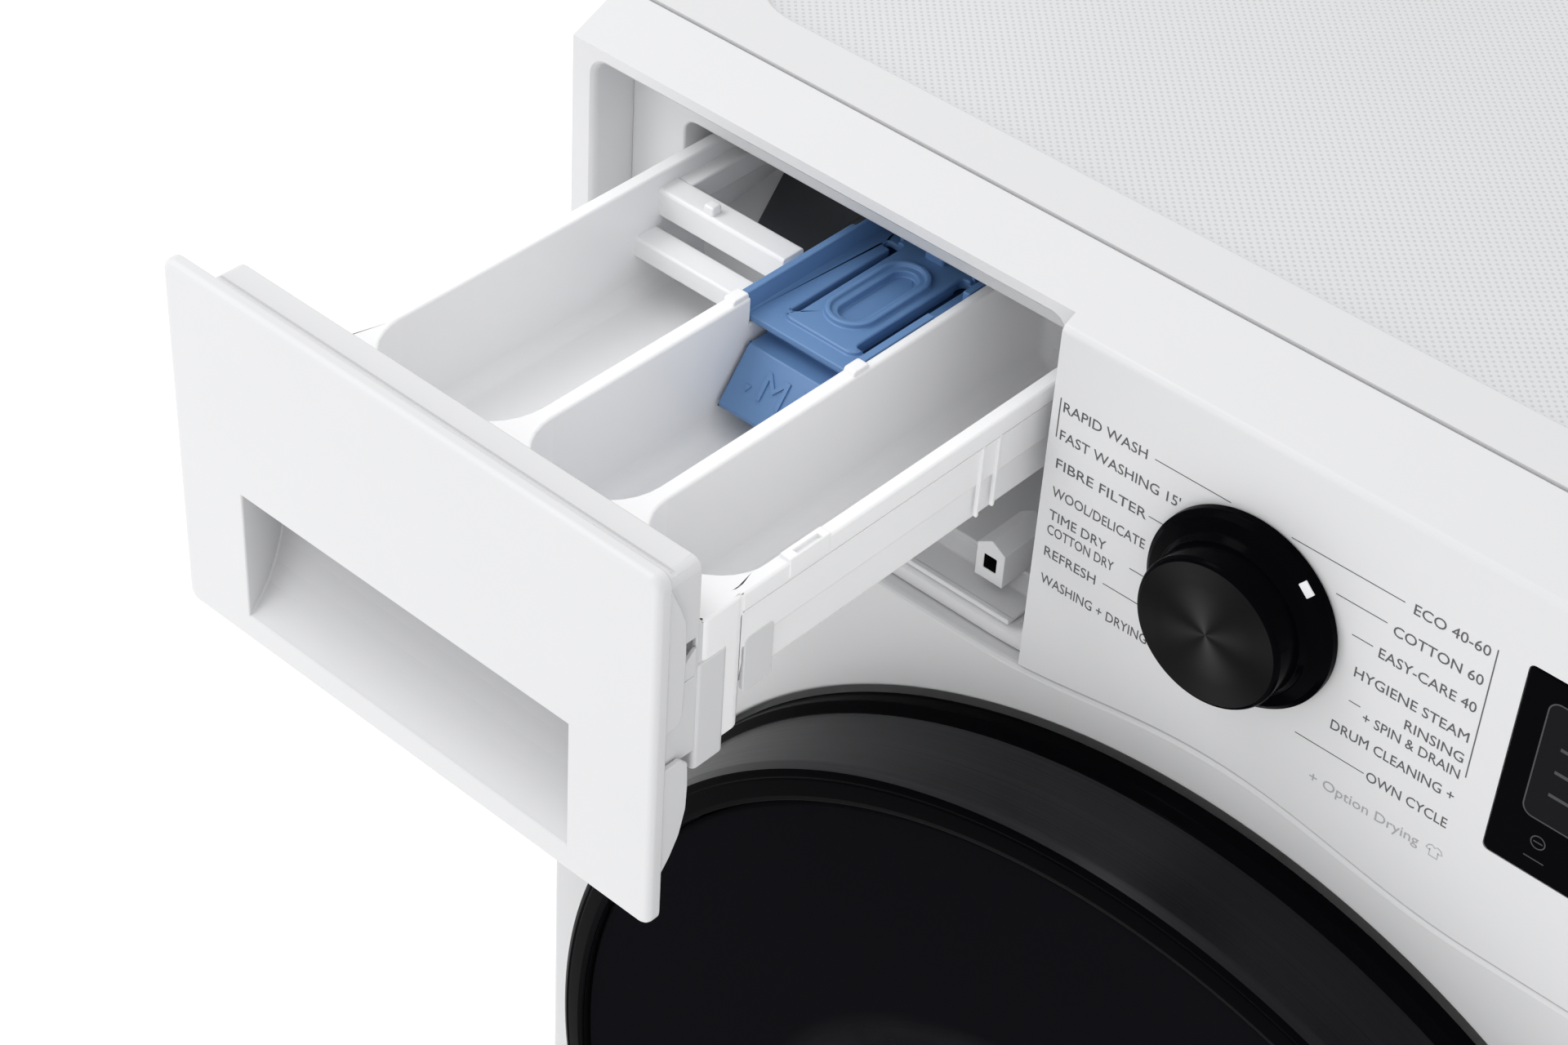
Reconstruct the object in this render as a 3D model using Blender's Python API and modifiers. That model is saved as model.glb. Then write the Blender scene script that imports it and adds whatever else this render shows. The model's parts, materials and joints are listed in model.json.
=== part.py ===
"""Front-loading washer-dryer, 600 x 850 mm, with its detergent drawer pulled out and its round door shut.

Depths are measured back from the flat face of the front panel, so FRONT + depth is a world y.
"""

import math

import bmesh
import bpy
from mathutils import Matrix, Vector

# Driving dimensions, in metres.
WIDTH = 0.600
HEIGHT = 0.850
DEPTH = 0.600  # front face to the end of the water inlet
DRAWER_OUT = 0.175
FRONT = DRAWER_OUT - (DEPTH + DRAWER_OUT) / 2
HALF = WIDTH / 2
GAP = 0.0004  # clearance between pieces that touch

CASE_BACK = 0.586  # depth of the rear panel's outer face
CASE_FRONT = 0.0305
FLOOR = 0.020  # underside of the cabinet above the feet
CASE_TOP = 0.822
SHEET = 0.002

DRUM_Z = 0.430  # height of the door's, tub's and drum's common axis
DISH_R = 0.261  # recess in the front panel that the door lies in
RING_R = 0.2555
DISH_FLOOR = 0.0143
MOUTH_R = 0.178
HINGE_X = -0.232
HINGE_DEPTH = -0.022
EAR_Z = (0.100, 0.108)  # hinge ears, above and below the axis

PANEL_Z = 0.695  # lower edge of the control panel beside its hump
HUMP = 0.012  # how far the lower edge rises over the door
HUMP_HALF = 0.100
RIDGE_Z = 0.837  # top edge of the panel's flat face
BAY_X = (-0.290, -0.084)
BAY_Z = (0.702, 0.834)
BAY_SET = 0.006  # how far the frame round the drawer lies back
KNOB = (0.0, 0.774)
DISPLAY_X = (0.095, 0.235)
DISPLAY_Z = (0.737, 0.812)
POWER = (0.266, 0.796)
START = (0.266, 0.752)

HOUSE_X = (-0.268, -0.0845)
HOUSE_DEPTH = (0.026, 0.300)
TRAY_X = (-0.2605, -0.0885)
TRAY_DEPTH = (0.0215, 0.275)
TRAY_Z = (0.758, 0.806)
COMPARTMENTS = ((-0.2550, -0.1910), (-0.1850, -0.1390), (-0.1330, -0.0925))
COMPARTMENT_DEPTH = (0.036, 0.243)
INSERT_FRONT = 0.149

TUB_R = 0.262
TUB_SPLIT = 0.245
DRUM_R = 0.240
SHAFT_R = 0.012
DRUM_PULLEY_R = 0.132
MOTOR_PULLEY_R = 0.011
MOTOR = (-0.060, 0.100)
PULLEY_DEPTH = (0.512, 0.532)
SPRING_X = 0.235
SPRING_DEPTH = 0.360
FOOT_X = 0.255
FOOT_DEPTHS = (0.075, 0.540)
PUMP = (0.220, 0.122)
SUMP = (0.060, 0.085)  # x and depth of the tub's lowest outlet
INLET_Z = 0.100
FLAP_X = (0.165, 0.275)
FLAP_Z = (0.075, 0.170)
FAN = (0.150, 0.410)  # x and depth of the drying fan's upright axis
DUCT_Z = (0.702, 0.772)
VALVE = (-0.215, 0.775)
DRAIN = (0.250, 0.760)
GLAND = (0.200, 0.790)
OUTLET = (-0.205, 0.275)  # x and depth of the dispenser's upright outlet

for old in list(bpy.data.objects):
    bpy.data.objects.remove(old, do_unlink=True)

PARTS = bpy.data.collections.new("washer_dryer")
TOOLS = bpy.data.collections.new("cutters")
bpy.context.scene.collection.children.link(PARTS)
bpy.context.scene.collection.children.link(TOOLS)


def finish(name, colour, roughness, metallic=0.0, transmission=0.0):
    material = bpy.data.materials.new(name)
    material.use_nodes = True
    shader = material.node_tree.nodes["Principled BSDF"]
    shader.inputs["Base Color"].default_value = (*colour, 1.0)
    shader.inputs["Roughness"].default_value = roughness
    shader.inputs["Metallic"].default_value = metallic
    shader.inputs["Transmission Weight"].default_value = transmission
    material.diffuse_color = (*colour, 1.0)
    return material


WHITE_STEEL = finish("white enamel", (0.86, 0.86, 0.87), 0.35)
WHITE_PLASTIC = finish("white plastic", (0.88, 0.88, 0.89), 0.42)
TRAY_WHITE = finish("tray plastic", (0.85, 0.85, 0.87), 0.5)
BLUE = finish("blue plastic", (0.16, 0.30, 0.56), 0.4)
BLACK_GLOSS = finish("black gloss", (0.01, 0.01, 0.012), 0.12)
BLACK_BRUSHED = finish("black brushed metal", (0.035, 0.036, 0.04), 0.35, 0.8)
TINTED = finish("tinted glass", (0.015, 0.015, 0.02), 0.05, 0.0, 0.4)
CLEAR = finish("clear glass", (0.85, 0.9, 0.9), 0.03, 0.0, 0.9)
RUBBER = finish("grey rubber", (0.12, 0.12, 0.13), 0.7)
BLACK_RUBBER = finish("black rubber", (0.02, 0.02, 0.02), 0.7)
STEEL = finish("bright steel", (0.62, 0.62, 0.63), 0.3, 1.0)
CAST = finish("cast aluminium", (0.55, 0.56, 0.57), 0.5, 1.0)
CAST_IRON = finish("cast iron", (0.20, 0.20, 0.21), 0.8, 0.3)
GREY_PLASTIC = finish("grey plastic", (0.33, 0.34, 0.35), 0.5)
BOARD_GREEN = finish("circuit board", (0.03, 0.16, 0.08), 0.5)


# Shape tools.


def new_object(name, mesh, material):
    piece = bpy.data.objects.new(name, mesh)
    if material:
        mesh.materials.append(material)
    (PARTS if material else TOOLS).objects.link(piece)
    if not material:
        piece.hide_render = True
        piece.display_type = "WIRE"
    return piece


def from_bmesh(name, bm, material):
    mesh = bpy.data.meshes.new(name)
    bmesh.ops.recalc_face_normals(bm, faces=bm.faces)
    bm.to_mesh(mesh)
    bm.free()
    return new_object(name, mesh, material)


def block(name, x, depth, z, material=None, bevel=0.0, chosen=None, segments=2):
    """A box between pairs of x, depth and z. chosen picks the edges to bevel by their middle, -1 to 1 each way."""
    bm = bmesh.new()
    bmesh.ops.create_cube(bm, size=1.0)
    size = Vector((x[1] - x[0], depth[1] - depth[0], z[1] - z[0]))
    if bevel:
        middles = {edge: (edge.verts[0].co + edge.verts[1].co) for edge in bm.edges}
        picked = [edge for edge in bm.edges if chosen is None or chosen(middles[edge])]
    bmesh.ops.scale(bm, vec=size, verts=bm.verts)
    if bevel:
        bmesh.ops.bevel(bm, geom=picked, offset=bevel, offset_type="OFFSET",
                        segments=segments, profile=0.5, affect="EDGES")
    piece = from_bmesh(name, bm, material)
    piece.location = ((x[0] + x[1]) / 2, FRONT + (depth[0] + depth[1]) / 2, (z[0] + z[1]) / 2)
    return piece


def upright(middle):
    """Edges of a box that run up."""
    return abs(middle.z) < 0.1


def along_depth(middle):
    return abs(middle.y) < 0.1


def front_edges(middle):
    return middle.y < -0.9


def radial_block(name, radius, depth, width, angle, material=None):
    """A box that stands out from the drum's axis at an angle from +X towards +Z."""
    piece = block(name, radius, depth, (-width / 2, width / 2), material)
    piece.data.transform(Matrix.Translation(piece.location - Vector((0, FRONT, 0))))
    piece.location = (0, FRONT, DRUM_Z)
    piece.rotation_euler = (0, -angle, 0)
    return piece


def signed_area(points):
    pairs = zip(points, points[1:] + points[:1])
    return sum(a[0] * b[1] - b[0] * a[1] for a, b in pairs) / 2


def turned(name, profile, steps, material=None, centre=(0.0, DRUM_Z), axis="y"):
    """A Screw of (radius, depth) points about a front-to-back axis at (x, z), or of (radius, z) about an
    upright axis at (x, depth). A profile whose two ends lie on the axis stays open there."""
    points = [(radius, -along if axis == "y" else along) for radius, along in profile]
    if signed_area(points) > 0:
        points.reverse()
    on_axis = profile[0][0] == 0 and profile[-1][0] == 0
    if on_axis:
        start = next(i for i, point in enumerate(points)
                     if point[0] == 0 and points[i - 1][0] == 0)
        points = points[start:] + points[:start]
    mesh = bpy.data.meshes.new(name)
    edges = [(i, i + 1) for i in range(len(points) - 1)]
    if not on_axis:
        edges.append((len(points) - 1, 0))
    mesh.from_pydata([(radius, 0, along) for radius, along in points], edges, [])
    piece = new_object(name, mesh, material)
    screw = piece.modifiers.new("turn", "SCREW")
    screw.steps = screw.render_steps = steps
    screw.use_merge_vertices = True
    screw.merge_threshold = 0.00001
    if axis == "y":
        piece.location = (centre[0], FRONT, centre[1])
        piece.rotation_euler = (math.pi / 2, 0, 0)
    else:
        piece.location = (centre[0], FRONT + centre[1], 0)
    return piece


def rod(name, centre, radius, along, steps=24, material=None, axis="y"):
    """A plain cylinder between two depths, or between two heights where axis is z."""
    profile = [(0, along[0]), (radius, along[0]), (radius, along[1]), (0, along[1])]
    return turned(name, profile, steps, material, centre, axis)


def as_mesh(curve_object, name, material):
    """Makes a curve object a mesh with its caps welded, so that it takes modifiers and Booleans."""
    bpy.context.view_layer.update()
    graph = bpy.context.evaluated_depsgraph_get()
    mesh = bpy.data.meshes.new_from_object(curve_object.evaluated_get(graph))
    mesh.materials.clear()
    bm = bmesh.new()
    bm.from_mesh(mesh)
    bmesh.ops.remove_doubles(bm, verts=bm.verts, dist=0.000005)
    bmesh.ops.recalc_face_normals(bm, faces=bm.faces)
    bm.to_mesh(mesh)
    bm.free()
    piece = new_object(name, mesh, material)
    piece.matrix_world = curve_object.matrix_world.copy()
    bpy.data.objects.remove(curve_object, do_unlink=True)
    return piece


def prism(name, loops, along, span, material=None):
    """An extruded outline with holes. along y takes (x, z) points, along z (x, depth), along x (depth, z)."""
    curve = bpy.data.curves.new(name + " outline", "CURVE")
    curve.dimensions = "2D"
    curve.fill_mode = "BOTH"
    curve.extrude = (span[1] - span[0]) / 2
    for loop in loops:
        spline = curve.splines.new("POLY")
        spline.points.add(len(loop) - 1)
        for point, (u, v) in zip(spline.points, loop):
            point.co = (u, v, 0, 1)
        spline.use_cyclic_u = True
    outline = bpy.data.objects.new(name + " outline", curve)
    TOOLS.objects.link(outline)
    middle = (span[0] + span[1]) / 2
    if along == "y":
        outline.location = (0, FRONT + middle, 0)
        outline.rotation_euler = (math.pi / 2, 0, 0)
    elif along == "z":
        outline.location = (0, FRONT, middle)
    else:
        outline.location = (middle, FRONT, 0)
        outline.rotation_euler = (math.pi / 2, 0, math.pi / 2)
    return as_mesh(outline, name, material)


def tube(name, points, radius, material=None, sides=2):
    """A round tube through (x, depth, z) points."""
    curve = bpy.data.curves.new(name + " line", "CURVE")
    curve.dimensions = "3D"
    curve.bevel_depth = radius
    curve.bevel_resolution = sides
    curve.use_fill_caps = True
    spline = curve.splines.new("POLY")
    spline.points.add(len(points) - 1)
    for point, (x, depth, z) in zip(spline.points, points):
        point.co = (x, FRONT + depth, z, 1)
    line = bpy.data.objects.new(name + " line", curve)
    TOOLS.objects.link(line)
    return as_mesh(line, name, material)


def smooth_route(points, count):
    """Points evenly spread in parameter along a Catmull-Rom curve through the given ones."""
    route = [Vector(p) for p in points]
    route = [2 * route[0] - route[1]] + route + [2 * route[-1] - route[-2]]
    spans = len(points) - 1
    result = []
    for i in range(count + 1):
        at = spans * i / count
        k = min(int(at), spans - 1)
        t = at - k
        a, b, c, d = route[k : k + 4]
        result.append(0.5 * (2 * b + (c - a) * t + (2 * a - 5 * b + 4 * c - d) * t * t
                             + (3 * b - a - 3 * c + d) * t * t * t))
    return result


def boolean(piece, operation, *tools):
    for tool in tools:
        modifier = piece.modifiers.new(operation.lower() + " " + tool.name, "BOOLEAN")
        modifier.operation = operation
        modifier.solver = "EXACT"
        modifier.object = tool
    return piece


def cut(piece, *tools):
    return boolean(piece, "DIFFERENCE", *tools)


def join(piece, *tools):
    return boolean(piece, "UNION", *tools)


def rounded(x, y, radius, steps=4):
    """The outline of a rectangle with round corners."""
    corners = ((x[1], y[1], 0), (x[0], y[1], 1), (x[0], y[0], 2), (x[1], y[0], 3))
    points = []
    for cx, cy, quarter in corners:
        inward = Vector((-1 if cx == x[1] else 1, -1 if cy == y[1] else 1)) * radius
        for i in range(steps + 1):
            angle = (quarter + i / steps) * math.pi / 2
            points.append((cx + inward.x + radius * math.cos(angle),
                           cy + inward.y + radius * math.sin(angle)))
    return points


def arc(centre, radius, start, end, steps):
    """Points on an arc, with angles in degrees."""
    angles = [math.radians(start + (end - start) * i / steps) for i in range(steps + 1)]
    return [(centre[0] + radius * math.cos(a), centre[1] + radius * math.sin(a)) for a in angles]


def panel_edge(x, lift=0.0):
    """Height of the seam between the control panel and the front panel."""
    hump = HUMP / 2 * (1 + math.cos(math.pi * x / HUMP_HALF)) if abs(x) < HUMP_HALF else 0.0
    return PANEL_Z + hump + lift


def seam(x_from, x_to, lift):
    """The seam's points from one x to another."""
    steps = 16
    inner = [-HUMP_HALF + 2 * HUMP_HALF * i / steps for i in range(steps + 1)]
    inside = [x for x in inner if min(x_from, x_to) < x < max(x_from, x_to)]
    if x_to < x_from:
        inside.reverse()
    return [(x, panel_edge(x, lift)) for x in [x_from, *inside, x_to]]


# The casing.


def make_cabinet_shell():
    shell = block("cabinet_shell", (-HALF, HALF), (CASE_FRONT, CASE_BACK), (FLOOR, CASE_TOP),
                  WHITE_STEEL, 0.004, lambda m: upright(m) and m.y > 0.9)
    inside = block("shell hollow", (-HALF + SHEET, HALF - SHEET), (0.0, CASE_BACK - SHEET),
                   (FLOOR + SHEET, HEIGHT))
    cut(shell, inside)
    cut(shell, rod("service opening", (0, DRUM_Z), 0.200, (0.570, 0.600), 32))
    for name, spot in (("valve hole", VALVE), ("drain hole", DRAIN), ("gland hole", GLAND)):
        cut(shell, rod(name, spot, 0.0155, (0.570, 0.600), 16))
    for side in (-1, 1):
        for depth in FOOT_DEPTHS:
            cut(shell, rod("foot hole", (side * FOOT_X, depth), 0.0060, (0.010, 0.030), 12, axis="z"))
        inner, outer = side * (SPRING_X - 0.012), side * (HALF - 0.001)
        join(shell, block("spring tab", (min(inner, outer), max(inner, outer)),
                          (SPRING_DEPTH - 0.010, SPRING_DEPTH + 0.010), (0.800, 0.803)))


def make_rear_cover():
    profile = [(0, 0.5920), (0.170, 0.5920), (0.200, 0.5890), (0.222, 0.5890),
               (0.222, CASE_BACK + GAP), (0.198, CASE_BACK + GAP), (0.168, 0.5895), (0, 0.5895)]
    turned("rear_cover", profile, 32, WHITE_STEEL)


def make_front_panel():
    wall = 0.0015
    side = HALF - 0.0005
    outline = [(-side, FLOOR), (side, FLOOR), *seam(side, -side, -0.0006)]
    panel = prism("front_panel", [outline], "y", (0.0, CASE_FRONT - GAP), WHITE_STEEL)
    bevel = panel.modifiers.new("rolled edge", "BEVEL")
    bevel.width = 0.002
    bevel.segments = 2
    bevel.limit_method = "ANGLE"
    bevel.angle_limit = math.radians(60)
    inner = side - wall
    hollow = [(-inner, FLOOR + wall), (inner, FLOOR + wall), *seam(inner, -inner, -0.0006 - wall)]
    cut(panel, prism("front hollow", [hollow], "y", (wall, 0.040)))
    cut(panel, rod("door opening", (0, DRUM_Z), DISH_R + 0.0015, (-0.010, 0.030), 48))
    dish = [(DISH_R, 0.0004), (DISH_R + 0.003, 0.0004), (DISH_R + 0.003, DISH_FLOOR + wall),
            (MOUTH_R + wall, DISH_FLOOR + wall), (MOUTH_R + wall, 0.0225), (MOUTH_R, 0.0225),
            (MOUTH_R, DISH_FLOOR), (DISH_R, DISH_FLOOR)]
    join(panel, turned("door dish", dish, 48))
    cut(panel, block("filter opening", FLAP_X, (-0.010, 0.010), FLAP_Z, None, 0.006, along_depth))
    cut(panel, block("latch slot", (0.1985, 0.2195), (0.010, 0.020), (0.421, 0.439)))


def make_top_cover():
    field_x, field_depth = (-0.274, 0.274), (0.056, 0.560)
    outside = (-HALF, HALF), (CASE_FRONT + GAP, 0.5895)
    cover = block("top_cover", *outside, (CASE_TOP + GAP, HEIGHT), WHITE_PLASTIC, 0.003,
                  lambda m: (upright(m) or m.z > 0.9) and m.y > -0.9)
    cut(cover, block("cover hollow", (-HALF + 0.003, HALF - 0.003), (CASE_FRONT + 0.003, 0.5865),
                     (0.800, 0.8430)))
    cut(cover, prism("cover field", [rounded(field_x, field_depth, 0.030, 6)], "z", (0.8470, 0.860)))


def make_control_panel():
    back = 0.0300
    face = [(0.0, 0.680), (0.0, RIDGE_Z - 0.003), (0.0012, RIDGE_Z), (back - 0.001, HEIGHT),
            (back, HEIGHT), (back, 0.680)]
    ridge = 0.8400
    frame = [(BAY_SET, 0.680), (BAY_SET, ridge - 0.003), (BAY_SET + 0.001, ridge), (back - 0.001, HEIGHT),
             (back, HEIGHT), (back, 0.680)]
    panel = prism("control_panel", [face], "x", (BAY_X[1] + 0.003, HALF), WHITE_PLASTIC)
    join(panel, prism("bay frame", [frame], "x", (-HALF, BAY_X[1] + 0.004)))
    cut(panel, block("panel hollow", (BAY_X[1] + 0.006, HALF - 0.003), (0.0028, 0.050), (0.712, 0.8330)))
    cut(panel, block("drawer bay", BAY_X, (-0.010, 0.050), BAY_Z, None, 0.006, along_depth))
    below = [(-0.320, 0.650), (0.320, 0.650), *seam(0.320, -0.320, 0.0)]
    cut(panel, prism("below the seam", [below], "y", (-0.020, 0.060)))
    cut(panel, rod("knob hole", KNOB, 0.0065, (-0.010, 0.010), 16))
    cut(panel, block("display opening", DISPLAY_X, (-0.010, 0.010), DISPLAY_Z, None, 0.002, along_depth))
    cut(panel, rod("power hole", POWER, 0.0105, (-0.010, 0.010), 24))
    cut(panel, rod("start hole", START, 0.0135, (-0.010, 0.010), 24))


def make_controls():
    block("display_window", (DISPLAY_X[0] + GAP, DISPLAY_X[1] - GAP), (-0.0003, 0.0045),
          (DISPLAY_Z[0] + GAP, DISPLAY_Z[1] - GAP), BLACK_GLOSS, 0.0018, along_depth)
    board = block("control_board", (-0.060, 0.284), (0.0150, 0.0166), (0.716, 0.826), BOARD_GREEN)
    join(board, block("relay", (0.150, 0.175), (0.0160, 0.0290), (0.745, 0.775)),
         block("transformer", (0.210, 0.245), (0.0160, 0.0290), (0.745, 0.790)),
         rod("encoder", KNOB, 0.0070, (0.0100, 0.0160), 12))
    # The skirt flares to the panel; the cap stands on it, and the stem reaches the encoder.
    profile = [(0, -0.0205), (0.0255, -0.0205), (0.0265, -0.0195), (0.0270, -0.0085), (0.0285, -0.0065),
               (0.0335, -0.0050), (0.0350, -0.0035), (0.0350, -0.0006), (0.0040, -0.0006),
               (0.0040, 0.0090), (0, 0.0090)]
    turned("program_knob", profile, 40, BLACK_GLOSS, KNOB)
    for name, spot, radius in (("power_button", POWER, 0.0100), ("start_button", START, 0.0130)):
        profile = [(0, -0.0012), (radius - 0.001, -0.0012), (radius, -0.0002), (radius, 0.0055),
                   (0.0030, 0.0055), (0.0030, 0.0115), (0, 0.0115)]
        turned(name, profile, 24, WHITE_PLASTIC, spot)


def make_foot(name, x, depth):
    profile = [(0, 0), (0.019, 0), (0.021, 0.002), (0.021, 0.006), (0.014, 0.0125), (0.0095, 0.0130),
               (0.0095, 0.0180), (0.0050, 0.0180), (0.0050, 0.0460), (0, 0.0460)]
    turned(name, profile, 16, BLACK_RUBBER, (x, depth), "z")


# The water side: dispenser housing, inlet, hoses, pump.


def make_dispenser_housing():
    x, depth = HOUSE_X, HOUSE_DEPTH
    top = 0.8345
    opening_x = (-0.2650, -0.0865)
    housing = block("dispenser_housing", x, (0.0342, depth[1]), (0.706, top), WHITE_PLASTIC)
    join(housing, block("housing flange", (BAY_X[0] + GAP, BAY_X[1] - GAP), (depth[0], depth[0] + 0.003),
                        (BAY_Z[0] + GAP, BAY_Z[1] - GAP), None, 0.008, along_depth),
         block("housing neck", (x[0] + 0.0005, x[1] - 0.0005), (0.0272, 0.0362), (0.7055, 0.8214)))
    floor = [(0.0040, 0.7026), (0.0040, 0.7042), (0.0225, 0.7042), (0.0280, 0.7088), (0.0330, 0.7088),
             (0.0330, 0.7026)]
    join(housing, prism("bay floor", [floor], "x", (BAY_X[0] + 0.0068, BAY_X[1] - 0.0068)))
    join(housing, rod("outlet", OUTLET, 0.0210, (0.6800, 0.7075), 20, axis="z"))
    cut(housing, block("housing hollow", opening_x, (0.0200, depth[1] - 0.003), (0.709, 0.8135)))
    cut(housing, block("housing top", (x[0] + 0.003, opening_x[1]), (0.0372, depth[1] - 0.003), (0.8000, 0.850)))
    cut(housing, rod("outlet bore", OUTLET, 0.0175, (0.660, 0.715), 20, axis="z"))
    join(housing, block("water boss", (-0.1145, -0.0985), (0.0135, 0.0370), (0.7086, 0.7280)),
         block("boss foot", (-0.1135, -0.0995), (0.0262, 0.0366), (0.7072, 0.7200)))
    cut(housing, block("boss hole", (-0.1125, -0.1005), (0.0100, 0.0260), (0.7106, 0.7260)))
    lid = block("dispenser_lid", (x[0], x[1]), (0.0342, depth[1] - 0.001), (top + GAP, 0.8405),
                GREY_PLASTIC, 0.001, upright, 1)
    cut(lid, block("water channel", (-0.250, -0.100), (0.050, 0.280), (0.8300, 0.8375)))


def make_inlet_valve():
    valve = block("inlet_valve", (VALVE[0] - 0.028, VALVE[0] + 0.028), (0.540, 0.578),
                  (VALVE[1] - 0.020, VALVE[1] + 0.020), WHITE_PLASTIC, 0.003)
    join(valve, rod("inlet thread", VALVE, 0.0130, (0.570, DEPTH), 20),
         rod("inlet flange", VALVE, 0.0190, (0.576, 0.5834), 20),
         rod("valve outlet", (VALVE[0], VALVE[1] + 0.006), 0.0065, (0.515, 0.545), 12),
         block("solenoid", (VALVE[0] - 0.012, VALVE[0] + 0.012), (0.545, 0.570), (0.735, 0.760)))
    cut(valve, rod("inlet bore", VALVE, 0.0090, (0.586, 0.620), 20))


def make_dispenser_hose():
    """A bellows between the housing's outlet and the tub's filling spout."""
    folds, low, high = 3, 0.6305, 0.6795
    pitch = (high - low) / folds
    outer = [(0.0225, low)]
    for i in range(folds):
        outer += [(0.0265, low + (i + 0.35) * pitch), (0.0265, low + (i + 0.65) * pitch),
                  (0.0225, low + (i + 1.0) * pitch)]
    inner = [(radius - 0.003, z) for radius, z in reversed(outer)]
    turned("dispenser_hose", outer + inner, 16, BLACK_RUBBER, OUTLET, "z")


def make_pump_side():
    pump = rod("drain_pump", PUMP, 0.0380, (0.0150, 0.1050), 24, GREY_PLASTIC)
    join(pump, rod("pump motor", PUMP, 0.0280, (0.1000, 0.1650), 20),
         rod("pump outlet", (PUMP[0], 0.0820), 0.0110, (0.140, 0.1780), 12, axis="z"))
    inlet = tube("pump inlet", [(0.150, SUMP[1], INLET_Z), (0.200, SUMP[1], INLET_Z)], 0.0170)
    join(pump, inlet)
    cut(pump, rod("filter bore", PUMP, 0.0315, (0.0100, 0.0950), 24))
    screw = rod("pump_filter", PUMP, 0.0365, (0.0080, 0.0146), 24, GREY_PLASTIC)
    join(screw, rod("filter body", PUMP, 0.0300, (0.0140, 0.0250), 20),
         rod("filter core", PUMP, 0.0120, (0.0200, 0.0850), 12),
         rod("filter end", PUMP, 0.0290, (0.0760, 0.0900), 20),
         block("filter grip", (PUMP[0] - 0.026, PUMP[0] + 0.026), (0.0038, 0.0090),
               (PUMP[1] - 0.005, PUMP[1] + 0.005)))
    flap = block("filter_flap", (FLAP_X[0] + 0.0007, FLAP_X[1] - 0.0007), (0.0002, 0.0022),
                 (FLAP_Z[0] + 0.0025, FLAP_Z[1] - 0.0007), WHITE_PLASTIC, 0.0065, along_depth)
    cut(flap, block("flap notch", (0.212, 0.228), (-0.010, 0.010), (0.1655, 0.180)))
    bend = [(x, SUMP[1], z) for x, z in arc((SUMP[0] + 0.032, INLET_Z + 0.032), 0.032, 180, 270, 5)]
    tube("sump_hose", [(*SUMP, 0.1394), *bend, (0.1494, SUMP[1], INLET_Z)], 0.0185, BLACK_RUBBER)
    route = [(0.220, 0.082, 0.1900), (0.232, 0.090, 0.214), (0.260, 0.120, 0.228), (0.281, 0.200, 0.230),
             (0.281, 0.400, 0.320), (0.281, 0.500, 0.560), (0.270, 0.545, 0.720), (0.252, 0.565, 0.758),
             (DRAIN[0], 0.580, DRAIN[1]), (DRAIN[0], 0.5985, DRAIN[1])]
    tube("drain_hose", [(0.220, 0.082, 0.1784), *smooth_route(route, 26)], 0.0110, GREY_PLASTIC)


def make_cord_gland():
    profile = [(0.0045, 0.5780), (0.0130, 0.5780), (0.0130, 0.5965), (0.0085, 0.5985), (0.0045, 0.5985)]
    gland = turned("cord_gland", profile, 16, GREY_PLASTIC, GLAND)
    join(gland, turned("gland nut", [(0.0100, 0.5865), (0.0185, 0.5865), (0.0185, 0.5900), (0.0100, 0.5900)],
                       16, None, GLAND))


# The washing unit: tub, drum, drive, suspension, drying duct.


def make_tub():
    inner = TUB_R - 0.0045
    flange = TUB_R + 0.006
    front = [(0.176, 0.0460), (0.180, 0.0460), (0.180, 0.0600), (0.258, 0.0600), (TUB_R, 0.0640),
             (TUB_R, TUB_SPLIT - 0.005), (flange, TUB_SPLIT - 0.005), (flange, TUB_SPLIT - GAP),
             (inner, TUB_SPLIT - GAP), (inner, 0.0645), (0.176, 0.0645)]
    tub_front = turned("tub_front", front, 32, GREY_PLASTIC)
    join(tub_front, rod("sump spout", SUMP, 0.0200, (0.1400, 0.1790), 16, axis="z"))
    cut(tub_front, rod("sump bore", SUMP, 0.0160, (0.130, 0.1850), 16, axis="z"),
        block("heater hole", (-0.030, 0.030), (0.050, 0.070), (0.1775, 0.1895)))
    rear = [(inner, TUB_SPLIT), (flange, TUB_SPLIT), (flange, TUB_SPLIT + 0.005), (TUB_R, TUB_SPLIT + 0.005),
            (TUB_R, 0.4550), (0.255, 0.4620), (0.060, 0.4620), (0.042, 0.5000), (0.0264, 0.5000),
            (0.0264, 0.4520), (inner, 0.4520)]
    tub_rear = turned("tub_rear", rear, 32, GREY_PLASTIC)
    spout = rod("fill spout", OUTLET, 0.0180, (0.560, 0.6300), 16, axis="z")
    lugs = [spout]
    for side in (-1, 1):
        lugs.append(block("spring lug", sorted_pair(side * 0.228, side * 0.242),
                          (SPRING_DEPTH - 0.008, SPRING_DEPTH + 0.008), (0.530, 0.570)))
        angle = math.radians(-135.7 if side < 0 else -44.3)
        lugs.append(radial_block("damper lug", (0.2595, 0.2775), (0.290, 0.320), 0.022, angle))
    join(tub_rear, *lugs)
    cut(tub_rear, rod("tub inside", (0, DRUM_Z), inner - 0.0005, (0.230, 0.4510), 32),
        rod("fill bore", OUTLET, 0.0145, (0.550, 0.650), 16, axis="z"))


def sorted_pair(a, b):
    return (min(a, b), max(a, b))


def make_counterweights():
    outline = arc((0, DRUM_Z), 0.250, 22, 158, 14) + arc((0, DRUM_Z), 0.197, 158, 22, 14)
    prism("front_counterweight", [outline], "y", (0.0325, 0.0595), CAST_IRON)
    top = block("top_counterweight", (-0.070, 0.085), (0.170, 0.380), (0.675, 0.745), CAST_IRON, 0.008, upright)
    cut(top, rod("tub clearance", (0, DRUM_Z), TUB_R + 0.0068, (0.100, 0.450), 40))


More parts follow.
